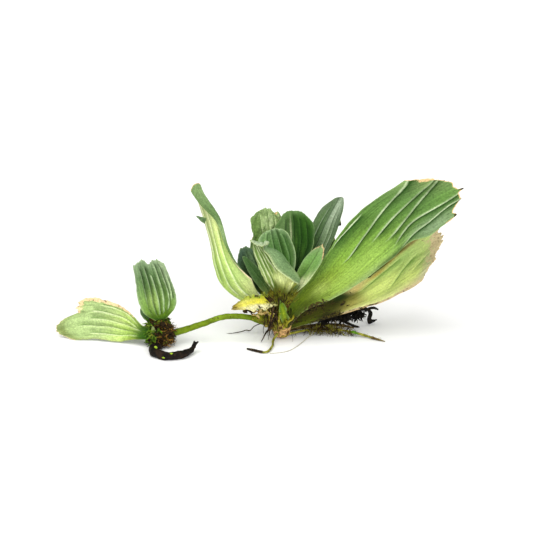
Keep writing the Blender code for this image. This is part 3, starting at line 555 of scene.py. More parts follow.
leaf("dark_back_leaf", half_width=9.8, cup=(40, 15, 10), crease=(40, 5), tip_pull=0.18, cells=(110, 100),
     worn_tip=0.3, worn_sides=0.02, seed=27, wave=0.5, crinkle=0.2, hem=0.45,
     thick=(1.4, 0.6),
     guide=[(4, 5.5, 22), (5.5, 10, 33), (6, 13.4, 41), (5.8, 15.4, 48.4), (5.2, 16.4, 56.2)],
     faces=[(-0.2, -1, 0.3), (-0.15, -1, 0.2)], outline=[0.28, 0.68, 0.97, 1, 0.8],
     veins=[([(0.2, 0.02), (0.5, 0), (0.95, -0.02)], 0.9, 1),
            ([(0.2, 0.3), (0.5, 0.32), (0.9, 0.3)], 0.5, 1),
            ([(0.2, 0.6), (0.5, 0.65), (0.85, 0.6)], 0.4, 1),
            ([(0.4, -0.5), (0.7, -0.5), (0.9, -0.45)], 0.6, 1)],
     tints_and_shading=[(0.7, -0.62, 0.6, 0.5, 0.95, (100, 130, 74)), (0.7, -0.14, 0.2, 0.05, 0.85, (188, 200, 150)),
            (0.75, 0.55, 0.3, 0.3, 0.5, (64, 112, 28)), (0.98, 0.2, 0.05, 0.6, 0.6, (96, 128, 74)),
            (0.5, 0.1, 0.2, 0.1, 0.7, (84, 130, 44)), (0.4, 0.5, 0.12, 0.12, 0.6, (80, 126, 40))],
     # The upper side's very dark greens are the leaf's own green with painted shade over its hollow face.
     upper=dict(along=[(0, (14, 40, 3)), (0.4, (16, 54, 4)), (0.75, (28, 72, 8)), (1, (62, 102, 34))],
                crest_pale_and_lit=(84, 124, 54), furrow_shade=(12, 42, 2), crest_share=0.3, edge=(120, 150, 96), felt=0.4),
     under=dict(along=[(0, (140, 168, 90)), (1, (150, 180, 122))], crest_pale_and_lit=(206, 220, 176),
                furrow_shade=(120, 150, 88)))
leaf("pleated_middle_leaf", half_width=8.3, cup=(40, 20, 10), pleats=4, pleat_height=0.4, pleat_start=0.1,
     cells=(110, 100), worn_tip=0.3, worn_sides=0.02, seed=31, wave=0.4, crinkle=0.16,
     thick=(1.4, 0.6),
     guide=[(0.5, 1, 22), (0, 3, 31.5), (-1.3, 4.7, 38.5), (-2.8, 5.9, 45), (-3.8, 6.4, 50.6)],
     faces=[(0, -1, 0.3), (0, -1, 0.1)], outline=[0.35, 0.78, 1, 0.92, 0.7],
     veins=[([(0.2, -0.55), (0.6, -0.55), (0.95, -0.5)], 1.1, 1),
            ([(0.2, -0.12), (0.6, -0.14), (0.98, -0.16)], 1.5, 1),
            ([(0.2, 0.2), (0.6, 0.2), (0.98, 0.16)], 1.2, 1),
            ([(0.1, 0.55), (0.6, 0.56), (0.9, 0.5)], 1.1, 1)],
     tints_and_shading=[(0.84, -0.5, 0.2, 0.3, 0.7, (134, 172, 104)), (0.5, 0.75, 0.3, 0.2, 0.7, (112, 152, 80)),
            (0.7, 0.35, 0.3, 0.12, 0.6, (70, 112, 36)), (0.3, 0, 0.2, 1, 0.5, (60, 100, 32))],
     upper=dict(along=[(0, (36, 74, 16)), (0.4, (60, 102, 34)), (0.75, (92, 132, 70)),
                       (1, (124, 156, 104))], crest_pale_and_lit=(136, 168, 110), furrow_shade=(24, 66, 10), crest_share=0.6,
                edge=(176, 200, 150), edge_share=0.8),
     under=dict(along=[(0, (150, 178, 100)), (1, (160, 188, 130))], crest_pale_and_lit=(214, 226, 184),
                furrow_shade=(124, 154, 92)))

# The front leaf turns its pale underside to the front, with white ridges that fan out from the
# base. Its right margin and its tip are folded over, so the felted upper side shows there.
leaf("front_ridged_leaf", guide_v=0.4, half_width=11.3, cup=(40, 20, 10), pleats=3, pleat_height=0.3,
     pleat_start=0.0, tip_pull=0.03, tip_skew=-0.1, cells=(140, 140), worn_tip=0.5,
     worn_sides=0.07, seed=37, wave=0.7, crinkle=0.6, hem=0.55, thick=(1.4, 0.5),
     guide=[(-0.8, -4, 18.5), (-1.2, -9, 26.5), (-2.2, -10, 33), (-4.5, -9, 39), (-7.8, -7.2, 45.2),
            (-9.8, -7.6, 48.8), (-11, -9.6, 48.4)],
     faces=[(0.1, 1, 0.1), (0.1, 1, 0.05), (0.15, 1, 0), (0.2, 1, 0), (0.2, 0.9, 0.2), (0.2, 0.5, 0.8),
            (0.2, -0.3, 1)], outline=[0.2, 0.54, 0.8, 0.86, 0.78, 0.62, 0.5],
     trim=([0.7, 0.75, 0.85, 1.08, 1.16, 1.06, 0.78, 0.42, 0.5, 0.55, 0.55], [1, 1]),
     roll=(-1, -150, [-1.2, -1.1, -0.95, -0.54, -0.3, -0.24, -0.28, -0.3, -0.7, -1.1, -1.1], 0.05, 0.2),
     veins=[([(0.15, 0.86), (0.45, 0.88), (0.8, 0.86)], -0.6, -1),
            ([(0.2, 0.68), (0.45, 0.7), (0.8, 0.72)], -1, -1),
            ([(0.36, 0.5), (0.55, 0.54), (0.8, 0.6)], -0.7, -1),
            ([(0.4, 0.26), (0.6, 0.38), (0.82, 0.5)], -1.1, -1),
            ([(0.42, 0), (0.56, 0.12), (0.7, 0.3)], -0.7, -1)],
     tints_and_shading=[(0.34, 0.12, 0.1, 0.42, 0.9, (240, 250, 172)),
            (0.27, -0.42, 0.07, 0.18, 0.9, (240, 248, 168)), (0.25, 0.48, 0.05, 0.1, 0.95, (54, 68, 8)),
            (0.31, 0.64, 0.06, 0.06, 0.95, (54, 66, 10)), (0.5, 0.85, 0.3, 0.2, 0.6, (140, 174, 92)),
            (0.2, 0.2, 0.08, 0.7, 0.8, (92, 104, 18)), (0.6, -0.7, 0.2, 0.2, 0.5, (136, 164, 112))],
     muds_and_shadows=[(0.14, 0.1, 0.1, 0.7, 0.62)], dries=[(0.84, -0.1, 0.02, 0.06, 0.6)],
     upper=dict(along=[(0, (100, 130, 66)), (0.3, (100, 130, 80)), (0.5, (86, 116, 70)),
                       (0.8, (104, 134, 90)), (0.9, (168, 188, 148)), (1, (178, 198, 158))],
                crest_pale_and_lit=(150, 176, 126), furrow_shade=(84, 114, 62), edge=(206, 218, 160), edge_share=0.85),
     under=dict(along=[(0, (70, 76, 10)), (0.2, (92, 102, 16)), (0.28, (150, 160, 56)),
                       (0.36, (188, 206, 108)), (0.5, (146, 176, 84)), (0.7, (128, 158, 80)),
                       (1, (120, 150, 84))], crest_pale_and_lit=(234, 240, 196), furrow_shade=(86, 120, 44),
                edge=(214, 220, 170), streak=0.8, lines=44, felt=0.35))

# The young leaves about the heart of the rosette, most of them half hidden: two shaded ones on
# the left, a half-closed one behind the broad leaf, and a cupped one with a curled, dry tip.
young_underside = dict(along=[(0, (140, 168, 92)), (1, (150, 178, 124))], crest_pale_and_lit=(206, 220, 176),
                       furrow_shade=(120, 150, 90))
leaf("shaded_left_leaf", half_width=6, cup=(35, 20), tip_pull=0.2, cells=(80, 70),
     worn_tip=0.4, worn_sides=0.03, seed=41, wave=0.5, crinkle=0.3, hem=0.4, thick=(1.3, 0.6),
     guide=[(-4.5, 4, 18), (-9.5, 5, 25.6), (-13.7, 6, 33), (-17, 6.8, 41.8)],
     faces=[(0.1, -0.95, 0.3), (0.2, -0.95, 0.2)], outline=[0.3, 0.75, 1, 0.75],
     veins=[([(0.2, 0), (0.6, 0), (0.95, 0)], 0.8, 1), ([(0.2, 0.45), (0.6, 0.45), (0.9, 0.4)], 0.8, 1),
            ([(0.2, -0.45), (0.6, -0.45), (0.9, -0.4)], 0.7, 1)],
     tints_and_shading=[(0.77, 0.3, 0.16, 0.3, 0.9, (142, 176, 124)), (0.4, -0.2, 0.2, 0.5, 0.6, (34, 56, 26))],
     upper=dict(along=[(0, (36, 62, 22)), (0.5, (58, 86, 46)), (0.8, (74, 102, 68)), (1, (84, 110, 92))],
                crest_pale_and_lit=(116, 146, 104), furrow_shade=(30, 56, 22), crest_share=0.6),
     under=young_underside)
leaf("narrow_left_leaf", half_width=2.6, cup=(30, 20), tip_pull=0.25, cells=(80, 40),
     worn_tip=0.2, worn_sides=0.02, seed=43, crinkle=0.12, hem=0.35, thick=(1.2, 0.6),
     guide=[(-3, 1, 19), (-8, 0.6, 26.2), (-12.2, 0.4, 32.3), (-17, 1, 39.5)],
     faces=[(0.4, -0.9, 0.3), (0.5, -0.8, 0.3)], outline=[0.7, 1, 1, 0.6],
     veins=[([(0.1, 0), (0.5, 0), (0.9, 0)], 0.4, 1)],
     tints_and_shading=[(0.1, 0, 0.2, 1.5, 0.8, (160, 184, 100))],
     upper=dict(along=[(0, (130, 158, 76)), (0.35, (84, 118, 56)), (1, (84, 124, 66))],
                crest_pale_and_lit=(112, 148, 86), furrow_shade=(50, 88, 32), edge=(150, 180, 120)),
     under=young_underside)
leaf("folded_upper_leaf", half_width=6.5, cup=(40, 15, 10), crease=(25, 8), tip_pull=0.1, tip_skew=-0.06,
     cells=(120, 90), worn_tip=0.2, worn_sides=0.02, seed=47, wave=0.2, crinkle=0.16,
     thick=(1.4, 0.6),
     guide=[(7.5, 8, 20), (12.3, 13, 29), (15.8, 15.2, 37), (19.3, 16.6, 44.7), (22.8, 17.4, 53),
            (27.8, 17.8, 63)], faces=[(-0.4, -0.9, 0.3), (-0.5, -0.85, 0.2)],
     outline=[0.3, 0.65, 0.95, 1, 0.88, 0.5],
     veins=[([(0.2, 0), (0.6, -0.02), (0.97, 0)], 1.1, -1),
            ([(0.2, 0.35), (0.6, 0.35), (0.92, 0.3)], 0.6, 1),
            ([(0.2, 0.65), (0.6, 0.66), (0.9, 0.6)], 0.5, 1),
            ([(0.3, -0.5), (0.6, -0.5), (0.9, -0.45)], 0.4, 1)],
     tugs=[(0.87, 1, 0, 1.2, 0.015, 0.15)],
     tints_and_shading=[(0.4, -0.6, 0.5, 0.5, 0.85, (58, 92, 36)), (0.8, -0.6, 0.2, 0.4, 0.7, (98, 128, 76)),
            (0.86, 0.3, 0.2, 0.34, 0.9, (184, 202, 172)), (0.62, 0.5, 0.15, 0.3, 0.7, (140, 166, 118)),
            (0.9, 0.95, 0.12, 0.12, 0.7, (70, 92, 62))], muds_and_shadows=[(0.87, 1, 0.018, 0.14, 0.8)],
     upper=dict(along=[(0, (34, 60, 22)), (0.35, (70, 98, 54)), (0.6, (104, 130, 90)),
                       (1, (126, 146, 116))], crest_pale_and_lit=(190, 208, 176), furrow_shade=(46, 76, 36),
                edge=(70, 90, 60), crest_share=0.6),
     under=young_underside)
leaf("small_right_leaf", half_width=4.8, cup=(38, 40, 20), tip_pull=0.15, cells=(90, 70),
     worn_tip=0.6, worn_sides=0.03, dry=(0, 0, 1.2), seed=53, wave=0.3, crinkle=0.12,
     hem=0.45, thick=(1.2, 0.6),
     guide=[(3.2, 0, 20), (7, -3.4, 27), (11.3, -5, 33.5), (15, -4.3, 39.5), (18.4, -3, 46)],
     faces=[(-0.5, -0.4, 0.75), (-0.6, -0.6, 0.5)], outline=[0.3, 0.7, 1, 0.95, 0.5],
     trim=([1, 1], [1.2, 1.5, 1.5, 1.1, 1]),
     veins=[([(0.15, 0), (0.5, 0), (0.9, 0)], 0.5, -1)],
     tints_and_shading=[(0.5, -0.3, 0.16, 0.4, 0.7, (76, 120, 40)), (0.46, 0.75, 0.12, 0.36, 0.95, (246, 252, 196)),
            (0.38, 0.25, 0.06, 0.3, 0.95, (240, 248, 190)), (0.6, 1, 0.1, 0.14, 0.9, (240, 246, 190)),
            (0.78, 0.4, 0.14, 0.4, 0.6, (124, 170, 86))],
     upper=dict(along=[(0, (160, 176, 100)), (0.4, (128, 168, 80)), (0.8, (126, 172, 92)),
                       (1, (140, 170, 110))], crest_pale_and_lit=(146, 176, 112), furrow_shade=(70, 102, 42),
                edge=(160, 184, 130), dry=(196, 186, 134)),
     under=dict(along=[(0, (190, 206, 130)), (0.5, (190, 208, 146)), (1, (168, 190, 132))],
                crest_pale_and_lit=(228, 236, 196), furrow_shade=(150, 176, 110), streak=0.6))
leaf("hidden_right_leaf", half_width=6.5, cup=(35, 15), tip_pull=0.2, cells=(80, 70),
     worn_tip=0.5, worn_sides=0.03, dry=(0, 0, 0.3), seed=59, wave=0.4, crinkle=0.2, thick=(1.5, 0.6),
     guide=[(6, 7, 16), (15, 15.5, 25), (20, 19.5, 34), (23, 22, 43)],
     faces=[(-0.5, -0.6, 0.6), (-0.6, -0.7, 0.5)], outline=[0.35, 0.85, 1, 0.75],
     veins=[([(0.2, -0.4), (0.6, -0.42), (0.95, -0.4)], 0.9, 1), ([(0.2, 0), (0.6, 0), (0.97, 0)], 1, 1),
            ([(0.2, 0.4), (0.6, 0.42), (0.95, 0.4)], 0.9, 1)],
     upper=dict(along=[(0, (70, 104, 30)), (0.5, (98, 136, 60)), (1, (120, 152, 90))],
                crest_pale_and_lit=(152, 184, 116), furrow_shade=(52, 92, 30)),
     under=dict(along=[(0, (150, 176, 92)), (1, (164, 192, 132))], crest_pale_and_lit=(216, 228, 184),
                furrow_shade=(126, 156, 92)))
leaf("rear_leaf", half_width=7.5, cup=(35, 15), tip_pull=0.2, cells=(90, 80),
     worn_tip=0.6, worn_sides=0.04, dry=(0, 0, 0.4), seed=61, wave=0.5, crinkle=0.2, thick=(1.5, 0.6),
     guide=[(-1.5, 7, 16), (-4.5, 18, 25.5), (-7, 25.5, 34), (-8, 31, 42.5)],
     faces=[(0.1, -0.9, 0.5), (0.1, -0.9, 0.4)], outline=[0.35, 0.85, 1, 0.75],
     veins=[([(0.2, -0.45), (0.6, -0.5), (0.95, -0.5)], 0.9, 1),
            ([(0.2, -0.12), (0.6, -0.15), (0.97, -0.15)], 1.2, 1),
            ([(0.2, 0.2), (0.6, 0.2), (0.97, 0.2)], 1.2, 1),
            ([(0.2, 0.55), (0.6, 0.55), (0.95, 0.5)], 0.9, 1)],
     upper=dict(along=[(0, (70, 104, 30)), (0.5, (104, 142, 62)), (1, (122, 154, 92))],
                crest_pale_and_lit=(160, 190, 120), furrow_shade=(52, 92, 30)),
     under=dict(along=[(0, (160, 186, 96)), (1, (168, 196, 134))], crest_pale_and_lit=(220, 232, 186),
                furrow_shade=(130, 160, 96)))

# A leaf that tore off left its base behind: spongy tissue, yellow outside and white within, with
# a ragged lower edge. A small green scale stands below it on the crown.
leaf("torn_leaf_base", half_width=3.5, cup=(30, 10), tip_pull=0.1, ripple=0.8, cells=(110, 60),
     worn_tip=0.8, worn_sides=0.36, seed=67, wave=0.8, crinkle=0.5, hem=0,
     thick=(2.6, 1.2),
     guide=[(-2.4, -6.8, 20.6), (-7.8, -9.4, 21.2), (-14, -10, 20.9), (-21.8, -10, 18.9)],
     faces=[(-0.1, -0.75, 0.65), (-0.1, -0.75, 0.65)], outline=[0.7, 1.05, 0.95, 0.35],
     tugs=[(0.22, -1, 0, 1.1, 0.03, 0.35), (0.36, -1, 0, -0.8, 0.03, 0.35),
           (0.52, -1, 0, 1.3, 0.035, 0.35), (0.66, -1, 0, -0.7, 0.03, 0.35),
           (0.78, -1, 0, 0.8, 0.03, 0.35), (0.3, 1, 0, 0.9, 0.03, 0.3), (0.46, 1, 0, -0.9, 0.035, 0.3),
           (0.62, 1, 0, 0.8, 0.03, 0.3)],
     tints_and_shading=[(0.5, 0.85, 0.5, 0.3, 0.9, (158, 184, 50)), (0.5, -0.7, 0.34, 0.4, 0.9, (255, 250, 206)),
            (0.97, 0, 0.08, 1.2, 0.9, (132, 110, 36)), (0.5, 0, 0.34, 0.3, 0.9, (255, 248, 84))],
     muds_and_shadows=[(0, 0.6, 0.2, 0.8, 0.7), (0.6, 1, 0.4, 0.14, 0.55), (0.4, -1, 0.3, 0.12, 0.6)],
     upper=dict(along=[(0, (150, 150, 40)), (0.4, (226, 214, 60)), (0.7, (236, 228, 110)),
                       (1, (186, 164, 60))], crest_pale_and_lit=(250, 246, 200), furrow_shade=(170, 150, 40),
                dry=(150, 110, 50), lines=60, streak=0.6, patchy=0.6),
     under=dict(along=[(0, (170, 168, 80)), (1, (222, 214, 150))], crest_pale_and_lit=(250, 246, 220),
                furrow_shade=(180, 170, 90), streak=0.6, patchy=0.5))
leaf("green_scale", half_width=1.9, cup=(30, 20), crease=(14, 14), tip_pull=0.3, cells=(60, 30),
     worn_tip=0.6, worn_sides=0.25, seed=71, crinkle=0.4, hem=0.3, thick=(1, 0.5),
     guide=[(2.4, -4, 9.5), (1.7, -7.6, 13.2), (0.8, -9.4, 17.6), (0, -10.2, 22.4)],
     faces=[(0, -1, 0.4), (0, -1, 0)], outline=[0.7, 1, 1, 0.6],
     tints_and_shading=[(0.2, 0.9, 0.3, 0.4, 0.7, (84, 92, 10)), (0.55, 0.1, 0.25, 0.4, 0.8, (160, 182, 30))],
     muds_and_shadows=[(0.1, 0.5, 0.2, 0.6, 0.4)],
     upper=dict(along=[(0, (132, 124, 22)), (0.4, (122, 146, 16)), (1, (92, 128, 10))],
                crest_pale_and_lit=(150, 180, 70), furrow_shade=(60, 84, 10)),
     under=dict(along=[(0, (120, 130, 40)), (1, (130, 150, 60))], crest_pale_and_lit=(150, 170, 80),
                furrow_shade=(80, 100, 30), streak=0.3))

# The plantlet's leaves. One stands, with deep grooves and a notched tip. One lies on its lower
# margin, its upper margin dried to a ragged band and its corner torn away. Two small ones are
# tucked against the crown.
leaf("daughter_upright_leaf", half_width=8, cup=(50, 25, 10), pleats=5, pleat_height=0.35,
     pleat_start=0.0, tip_pull=0.06, tip_skew=0.07, notch=(0.05, 0.05), cells=(130, 120),
     worn_tip=0.7, worn_sides=0.03, seed=73, wave=0.5, crinkle=0.25, thick=(1.5, 0.6),
     guide=[(-53.9, -10.2, 13.6), (-54.8, -9.1, 18.2), (-56, -7.2, 24), (-57.8, -6.6, 32.5),
            (-59.9, -6.9, 41.2)], faces=[(0.15, -1, 0.15), (0.15, -1, 0.1)],
     outline=[0.35, 1, 1.06, 0.95, 0.8],
     veins=[([(0.15, -0.66), (0.5, -0.6), (0.92, -0.7)], 1.6, 1),
            ([(0.12, -0.36), (0.5, -0.28), (0.9, -0.36)], 2.2, 1),
            ([(0.12, -0.02), (0.5, 0.02), (0.8, -0.04)], 2.3, 1),
            ([(0.12, 0.24), (0.5, 0.34), (0.95, 0.3)], 2.2, 1),
            ([(0.2, 0.5), (0.5, 0.62), (0.9, 0.6)], 1.6, 1), ([(0.4, 0.8), (0.8, 0.84)], 1, 1)],
     tints_and_shading=[(0.42, -0.2, 0.16, 0.28, 0.8, (186, 214, 120)), (0.12, 0.1, 0.1, 1.2, 0.9, (84, 116, 18)),
            (0.85, 0.8, 0.2, 0.3, 0.5, (176, 192, 152)), (0.7, -0.3, 0.15, 0.3, 0.6, (76, 108, 56)),
            (0.58, 0.6, 0.2, 0.14, 0.7, (78, 110, 44)), (0.8, 0.1, 0.1, 0.5, 0.5, (98, 128, 76))],
     upper=dict(along=[(0, (38, 74, 8)), (0.08, (60, 98, 20)), (0.2, (114, 150, 56)),
                       (0.5, (124, 158, 80)), (0.8, (98, 130, 78)), (1, (136, 160, 118))],
                crest_pale_and_lit=(206, 228, 178), furrow_shade=(24, 56, 12), edge=(176, 196, 156), crest_share=0.8,
                streak=0.55),
     under=dict(along=[(0, (150, 176, 96)), (1, (158, 186, 132))], crest_pale_and_lit=(214, 226, 186),
                furrow_shade=(120, 150, 90)))
leaf("daughter_lying_leaf", half_width=8.8, cup=(40, 15, 10), pleats=4, pleat_height=0.3, pleat_start=0.0,
     tip_pull=0.06, tear=(0.34, 0.07, 0.15), rests=True, cells=(150, 120), worn_tip=0.7,
     worn_sides=0.06, dry=(0, 1.8, 0.3), seed=79, wave=0.5, crinkle=0.3, hem=0.4, thick=(1.5, 0.6),
     guide=[(-55.4, -12.8, 6.9), (-63.5, -8, 6.4), (-71, -2.5, 7.1), (-80, -0.8, 8.6), (-90, 0.5, 8.5),
            (-102, 1, 5.8)], faces=[(0, -1, 0.3), (0, -1, 0.25)],
     outline=[0.22, 0.42, 0.84, 1, 1.02, 0.78], trim=([1, 1], [1, 1, 1.05, 1.12, 1.15, 1.15]),
     veins=[([(0.22, -0.56), (0.5, -0.66), (0.75, -0.64)], 1.2, 1),
            ([(0.2, -0.24), (0.5, -0.3), (0.84, -0.28)], 1.6, 1),
            ([(0.2, 0.06), (0.5, 0.06), (0.74, 0.04)], 1.8, 1),
            ([(0.22, 0.34), (0.5, 0.42), (0.8, 0.44)], 1.4, 1),
            ([(0.26, 0.66), (0.5, 0.74), (0.72, 0.72)], 1, 1)],
     tugs=[(1, 0.26, -2.2, 0, 0.12, 0.14), (1, -0.3, 1, 0, 0.1, 0.3), (1, -1, -2, 0, 0.1, 0.2)],
     tints_and_shading=[(0.12, 0, 0.13, 1.5, 0.95, (48, 92, 8)), (0.96, -0.4, 0.03, 0.6, 0.7, (104, 112, 44)),
            (0.36, 0.2, 0.12, 0.8, 0.6, (206, 236, 118)), (0.75, 0.1, 0.15, 0.6, 0.5, (182, 204, 140)),
            (0.44, 0.16, 0.14, 0.1, 0.8, (238, 242, 178)),
            (0.54, -0.22, 0.15, 0.08, 0.7, (228, 236, 176)), (0.5, 0.5, 0.14, 0.08, 0.7, (230, 238, 172))],
     muds_and_shadows=[(0, 0, 0.08, 1.2, 0.5)], dries=[(1, 0.8, 0.07, 0.4, 1), (0.8, 1, 0.2, 0.14, 1)],
     upper=dict(along=[(0, (30, 70, 4)), (0.2, (50, 92, 10)), (0.28, (150, 182, 70)),
                       (0.42, (196, 222, 126)), (0.65, (184, 206, 136)), (0.85, (174, 198, 130)),
                       (1, (160, 182, 116))], crest_pale_and_lit=(240, 246, 200), furrow_shade=(96, 130, 62),
                edge=(140, 120, 70), dry=(228, 202, 154), crest_share=0.7, streak=0.45),
     under=dict(along=[(0, (140, 166, 70)), (0.3, (190, 210, 130)), (1, (184, 204, 146))],
                crest_pale_and_lit=(226, 236, 194), furrow_shade=(140, 170, 100), dry=(214, 190, 146)))
leaf("daughter_back_leaf", half_width=3.4, cup=(40, 20), tip_pull=0.2, cells=(50, 40),
     worn_tip=0.3, seed=83, crinkle=0.2, thick=(1.1, 0.5),
     guide=[(-55.5, -4, 7), (-59.5, 0.8, 10.5), (-63.5, 3.5, 13.8)],
     faces=[(0.3, -0.8, 0.5), (0.3, -0.8, 0.5)], outline=[0.5, 1, 0.7],
     veins=[([(0.2, 0), (0.5, 0), (0.9, 0)], 0.4, 1)],
     upper=dict(along=[(0, (50, 80, 24)), (0.5, (70, 106, 56)), (1, (90, 120, 84))],
                crest_pale_and_lit=(130, 156, 106), furrow_shade=(40, 70, 26)),
     under=dict(along=[(0, (130, 158, 80)), (1, (150, 178, 120))], crest_pale_and_lit=(200, 216, 166),
                furrow_shade=(110, 140, 80), streak=0.3))
leaf("daughter_scale", half_width=1.0, tip_pull=0.3, cells=(36, 24),
     worn_tip=0.3, seed=89, thick=(1, 0.5),
     guide=[(-55.5, -9.5, 6), (-57, -12.6, 8.6), (-57.4, -13.6, 11.4)], faces=[(0, -1, 0.4), (0, -1, 0)],
     outline=[0.9, 1, 0.6], muds_and_shadows=[(0, 0, 0.3, 1, 0.5)],
     upper=dict(along=[(0, (60, 60, 16)), (0.5, (90, 96, 30)), (0.6, (120, 140, 50)),
                       (1, (206, 216, 140))], crest_pale_and_lit=(230, 236, 180), furrow_shade=(120, 130, 60)),
     under=dict(along=[(0, (120, 120, 50)), (1, (180, 184, 120))], crest_pale_and_lit=(210, 216, 160),
                furrow_shade=(110, 116, 60), streak=0.3))

# The crown of the mother plant: the short, swollen stem that everything grows from. Its foot is a
# tan, scarred knob; above it the old leaf bases leave an olive-brown, fibrous mass.
LEAST_HEIGHT = 0.05 * MM
SCAR_SHADES = [(0.32, (0.22, 0.2, 0.2, 1)), (0.5, (1, 1, 1, 1)), (0.72, (1.6, 1.6, 1.5, 1))]


def crown(name, centre, height, radii, lean, wobble, size, skin):
    """A knobbly upright body with a flat foot: a sphere whose rings take the radii, foot to top."""
    bpy.ops.object.select_all(action="DESELECT")
    bpy.ops.mesh.primitive_uv_sphere_add(segments=110, ring_count=80, radius=1)
    piece = bpy.context.object
    piece.name = piece.data.name = name + "_skin"
    rows_of_scars = 38
    for corner in piece.data.vertices:
        level = math.acos(max(-1.0, min(1.0, -corner.co.z))) / math.pi
        around = math.atan2(corner.co.y, corner.co.x)
        ring = float(between(radii, np.array([level]))[0]) * min(1, 6 * min(level, 1 - level) ** 0.6)
        spot = Vector((math.cos(around), math.sin(around), 3 * level)) * size
        lumps = noise.noise(spot) + 0.6 * noise.noise(spot * 2.7) + 0.4 * noise.noise(spot * 6.5)
        ring *= 1 + wobble * lumps + 0.4 * wobble * math.sin(rows_of_scars * level + 2 * lumps)
        out = Vector((math.cos(around) * ring, math.sin(around) * ring, height * level))
        corner.co = Vector(centre) + Vector(lean) * level + out
        corner.co *= MM
        corner.co.z = max(corner.co.z, LEAST_HEIGHT)
    piece.data.shade_smooth()
    piece.data.materials.append(skin)
    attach(piece, "root")
    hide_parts(name)


def crown_skin(name, low, high, foot, middle, top, flecks):
    """Bark-like skin: one colour at the foot, one midway, one on top, with flecks, scars and specks."""
    skin = Nodes(name)
    place = skin.add("ShaderNodeSeparateXYZ")
    skin.join(skin.add("ShaderNodeTexCoord").outputs["Object"], place.inputs[0])
    level = skin.limit(place.outputs["Z"], low * MM, high * MM)
    level = skin.math("ADD", level, skin.spread(skin.noise(260, 3), 0.7))
    shade = skin.ramp(level, [(0.2, paint(*foot)), (0.45, paint(*middle)), (0.8, paint(*top))])
    fleck = skin.ramp(skin.noise(330, 2), [(0.3 + 0.1 * i, paint(*rgb)) for i, rgb in enumerate(flecks)])
    fleck_share = skin.math("MULTIPLY", skin.limit(skin.noise(260, 3), 0.5, 0.56),
                            skin.limit(place.outputs["Z"], (low - 8) * MM, (low - 1) * MM))
    shade = skin.mix(fleck_share, shade, fleck)
    scars = skin.noise(420, 4, rough=0.7)
    shade = skin.mix(1.0, shade, skin.ramp(scars, SCAR_SHADES), "MULTIPLY")
    specks = skin.limit(skin.noise(1500, 2), 0.6, 0.68)
    shade = skin.mix(specks, shade, paint(52, 30, 12))
    skin.finish(shade, 0.7)
    skin.bump(skin.math("ADD", scars, skin.math("MULTIPLY", skin.noise(1800, 3), 0.4)), 1.0, 0.0012)
    return skin.material


crown("crown", (0.3, 1.0, 0), 25, [2.6, 3.9, 4.3, 4.6, 5.4, 6.8, 8.0, 8.6, 8.2, 6.0], (1.5, 2.5, 0), 0.10,
      1.7,
      crown_skin("crown skin", 4, 15, foot=(206, 164, 108), middle=(150, 138, 40), top=(104, 106, 22),
                 flecks=[(70, 40, 14), (128, 88, 40), (84, 62, 20), (130, 124, 24)]))

# The plantlet's crown: a small dark knob of dead root and leaf bases, lumpier than the mother's,
# with a little living green near its top.
crown("daughter_crown", (-54.5, -7.5, 0), 13, [3.0, 4.5, 5.0, 4.8, 3.9, 2.4], (0.5, 0, 0), 0.26, 2.8,
      crown_skin("plantlet crown skin", 1, 12, foot=(24, 16, 5), middle=(50, 36, 9), top=(66, 92, 12),
                 flecks=[(20, 12, 4), (128, 80, 22), (40, 26, 8), (96, 112, 18)]))


# The runner that joins the two plants: a firm green stem with brown specks, thicker where it meets
# the plantlet. It is a tube along a smooth line, as the roots and the dead stalks are.
def tubes(name, lines, skin, node=None, sides=1, rough=0.0, seed=1.0):
    """One piece of one or many round strands: each line is (points, radii), both in millimetres."""
    bpy.ops.object.select_all(action="DESELECT")
    curve = bpy.data.curves.new(name, "CURVE")
    curve.dimensions = "3D"
    curve.bevel_depth = MM
    curve.bevel_resolution = sides
    curve.use_fill_caps = True
    for points, radii in lines:
        spline = curve.splines.new("POLY")
        spline.points.add(len(points) - 1)
        for spot, place, radius in zip(spline.points, points, radii):
            spot.co = (place[0] * MM, place[1] * MM, place[2] * MM, 1)
            spot.radius = radius
    piece = bpy.data.objects.new(name, curve)
    bpy.context.scene.collection.objects.link(piece)
    bpy.context.view_layer.objects.active = piece
    piece.select_set(True)
    bpy.ops.object.convert(target="MESH")
    piece = bpy.context.object
    if rough:
        big_lumps, small_lumps = 420, 1300
        normals = [corner.normal.copy() for corner in piece.data.vertices]
        for corner, normal in zip(piece.data.vertices, normals):
            lumps = noise.noise(corner.co * big_lumps + Vector((seed, 0, 0)))
            lumps += 0.5 * noise.noise(corner.co * small_lumps)
            corner.co += normal * lumps * rough * MM
            corner.co.z = max(corner.co.z, LEAST_HEIGHT)
    piece.data.shade_smooth()
    piece.data.materials.append(skin)
    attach(piece, "root")
    if node:
        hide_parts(node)


def drawn(points, radii, steps):
    """A smooth line through a few points, ready for tubes."""
    t = np.linspace(0, 1, steps)
    return between(points, t), between(radii, t)


def stem_skin(name, shades, scale, specks=0.0, rough=0.5, bump=0.0006):
    """The skin of a stem or root: a few colours in patches, with dark specks."""
    skin = Nodes(name)
    patchy = skin.noise(scale, 3, rough=0.6)
    step = 0.34 / max(1, len(shades) - 1)
    shade = skin.ramp(patchy, [(0.33 + step * i, paint(*rgb)) for i, rgb in enumerate(shades)])
    if specks:
        spotted = skin.limit(skin.noise(scale * 3.3, 3), 0.72 - specks, 0.76 - specks)
        shade = skin.mix(spotted, shade, paint(60, 40, 14))
    skin.finish(shade, rough)
    skin.bump(skin.noise(scale * 4, 3), 0.8, bump)
    return skin.material


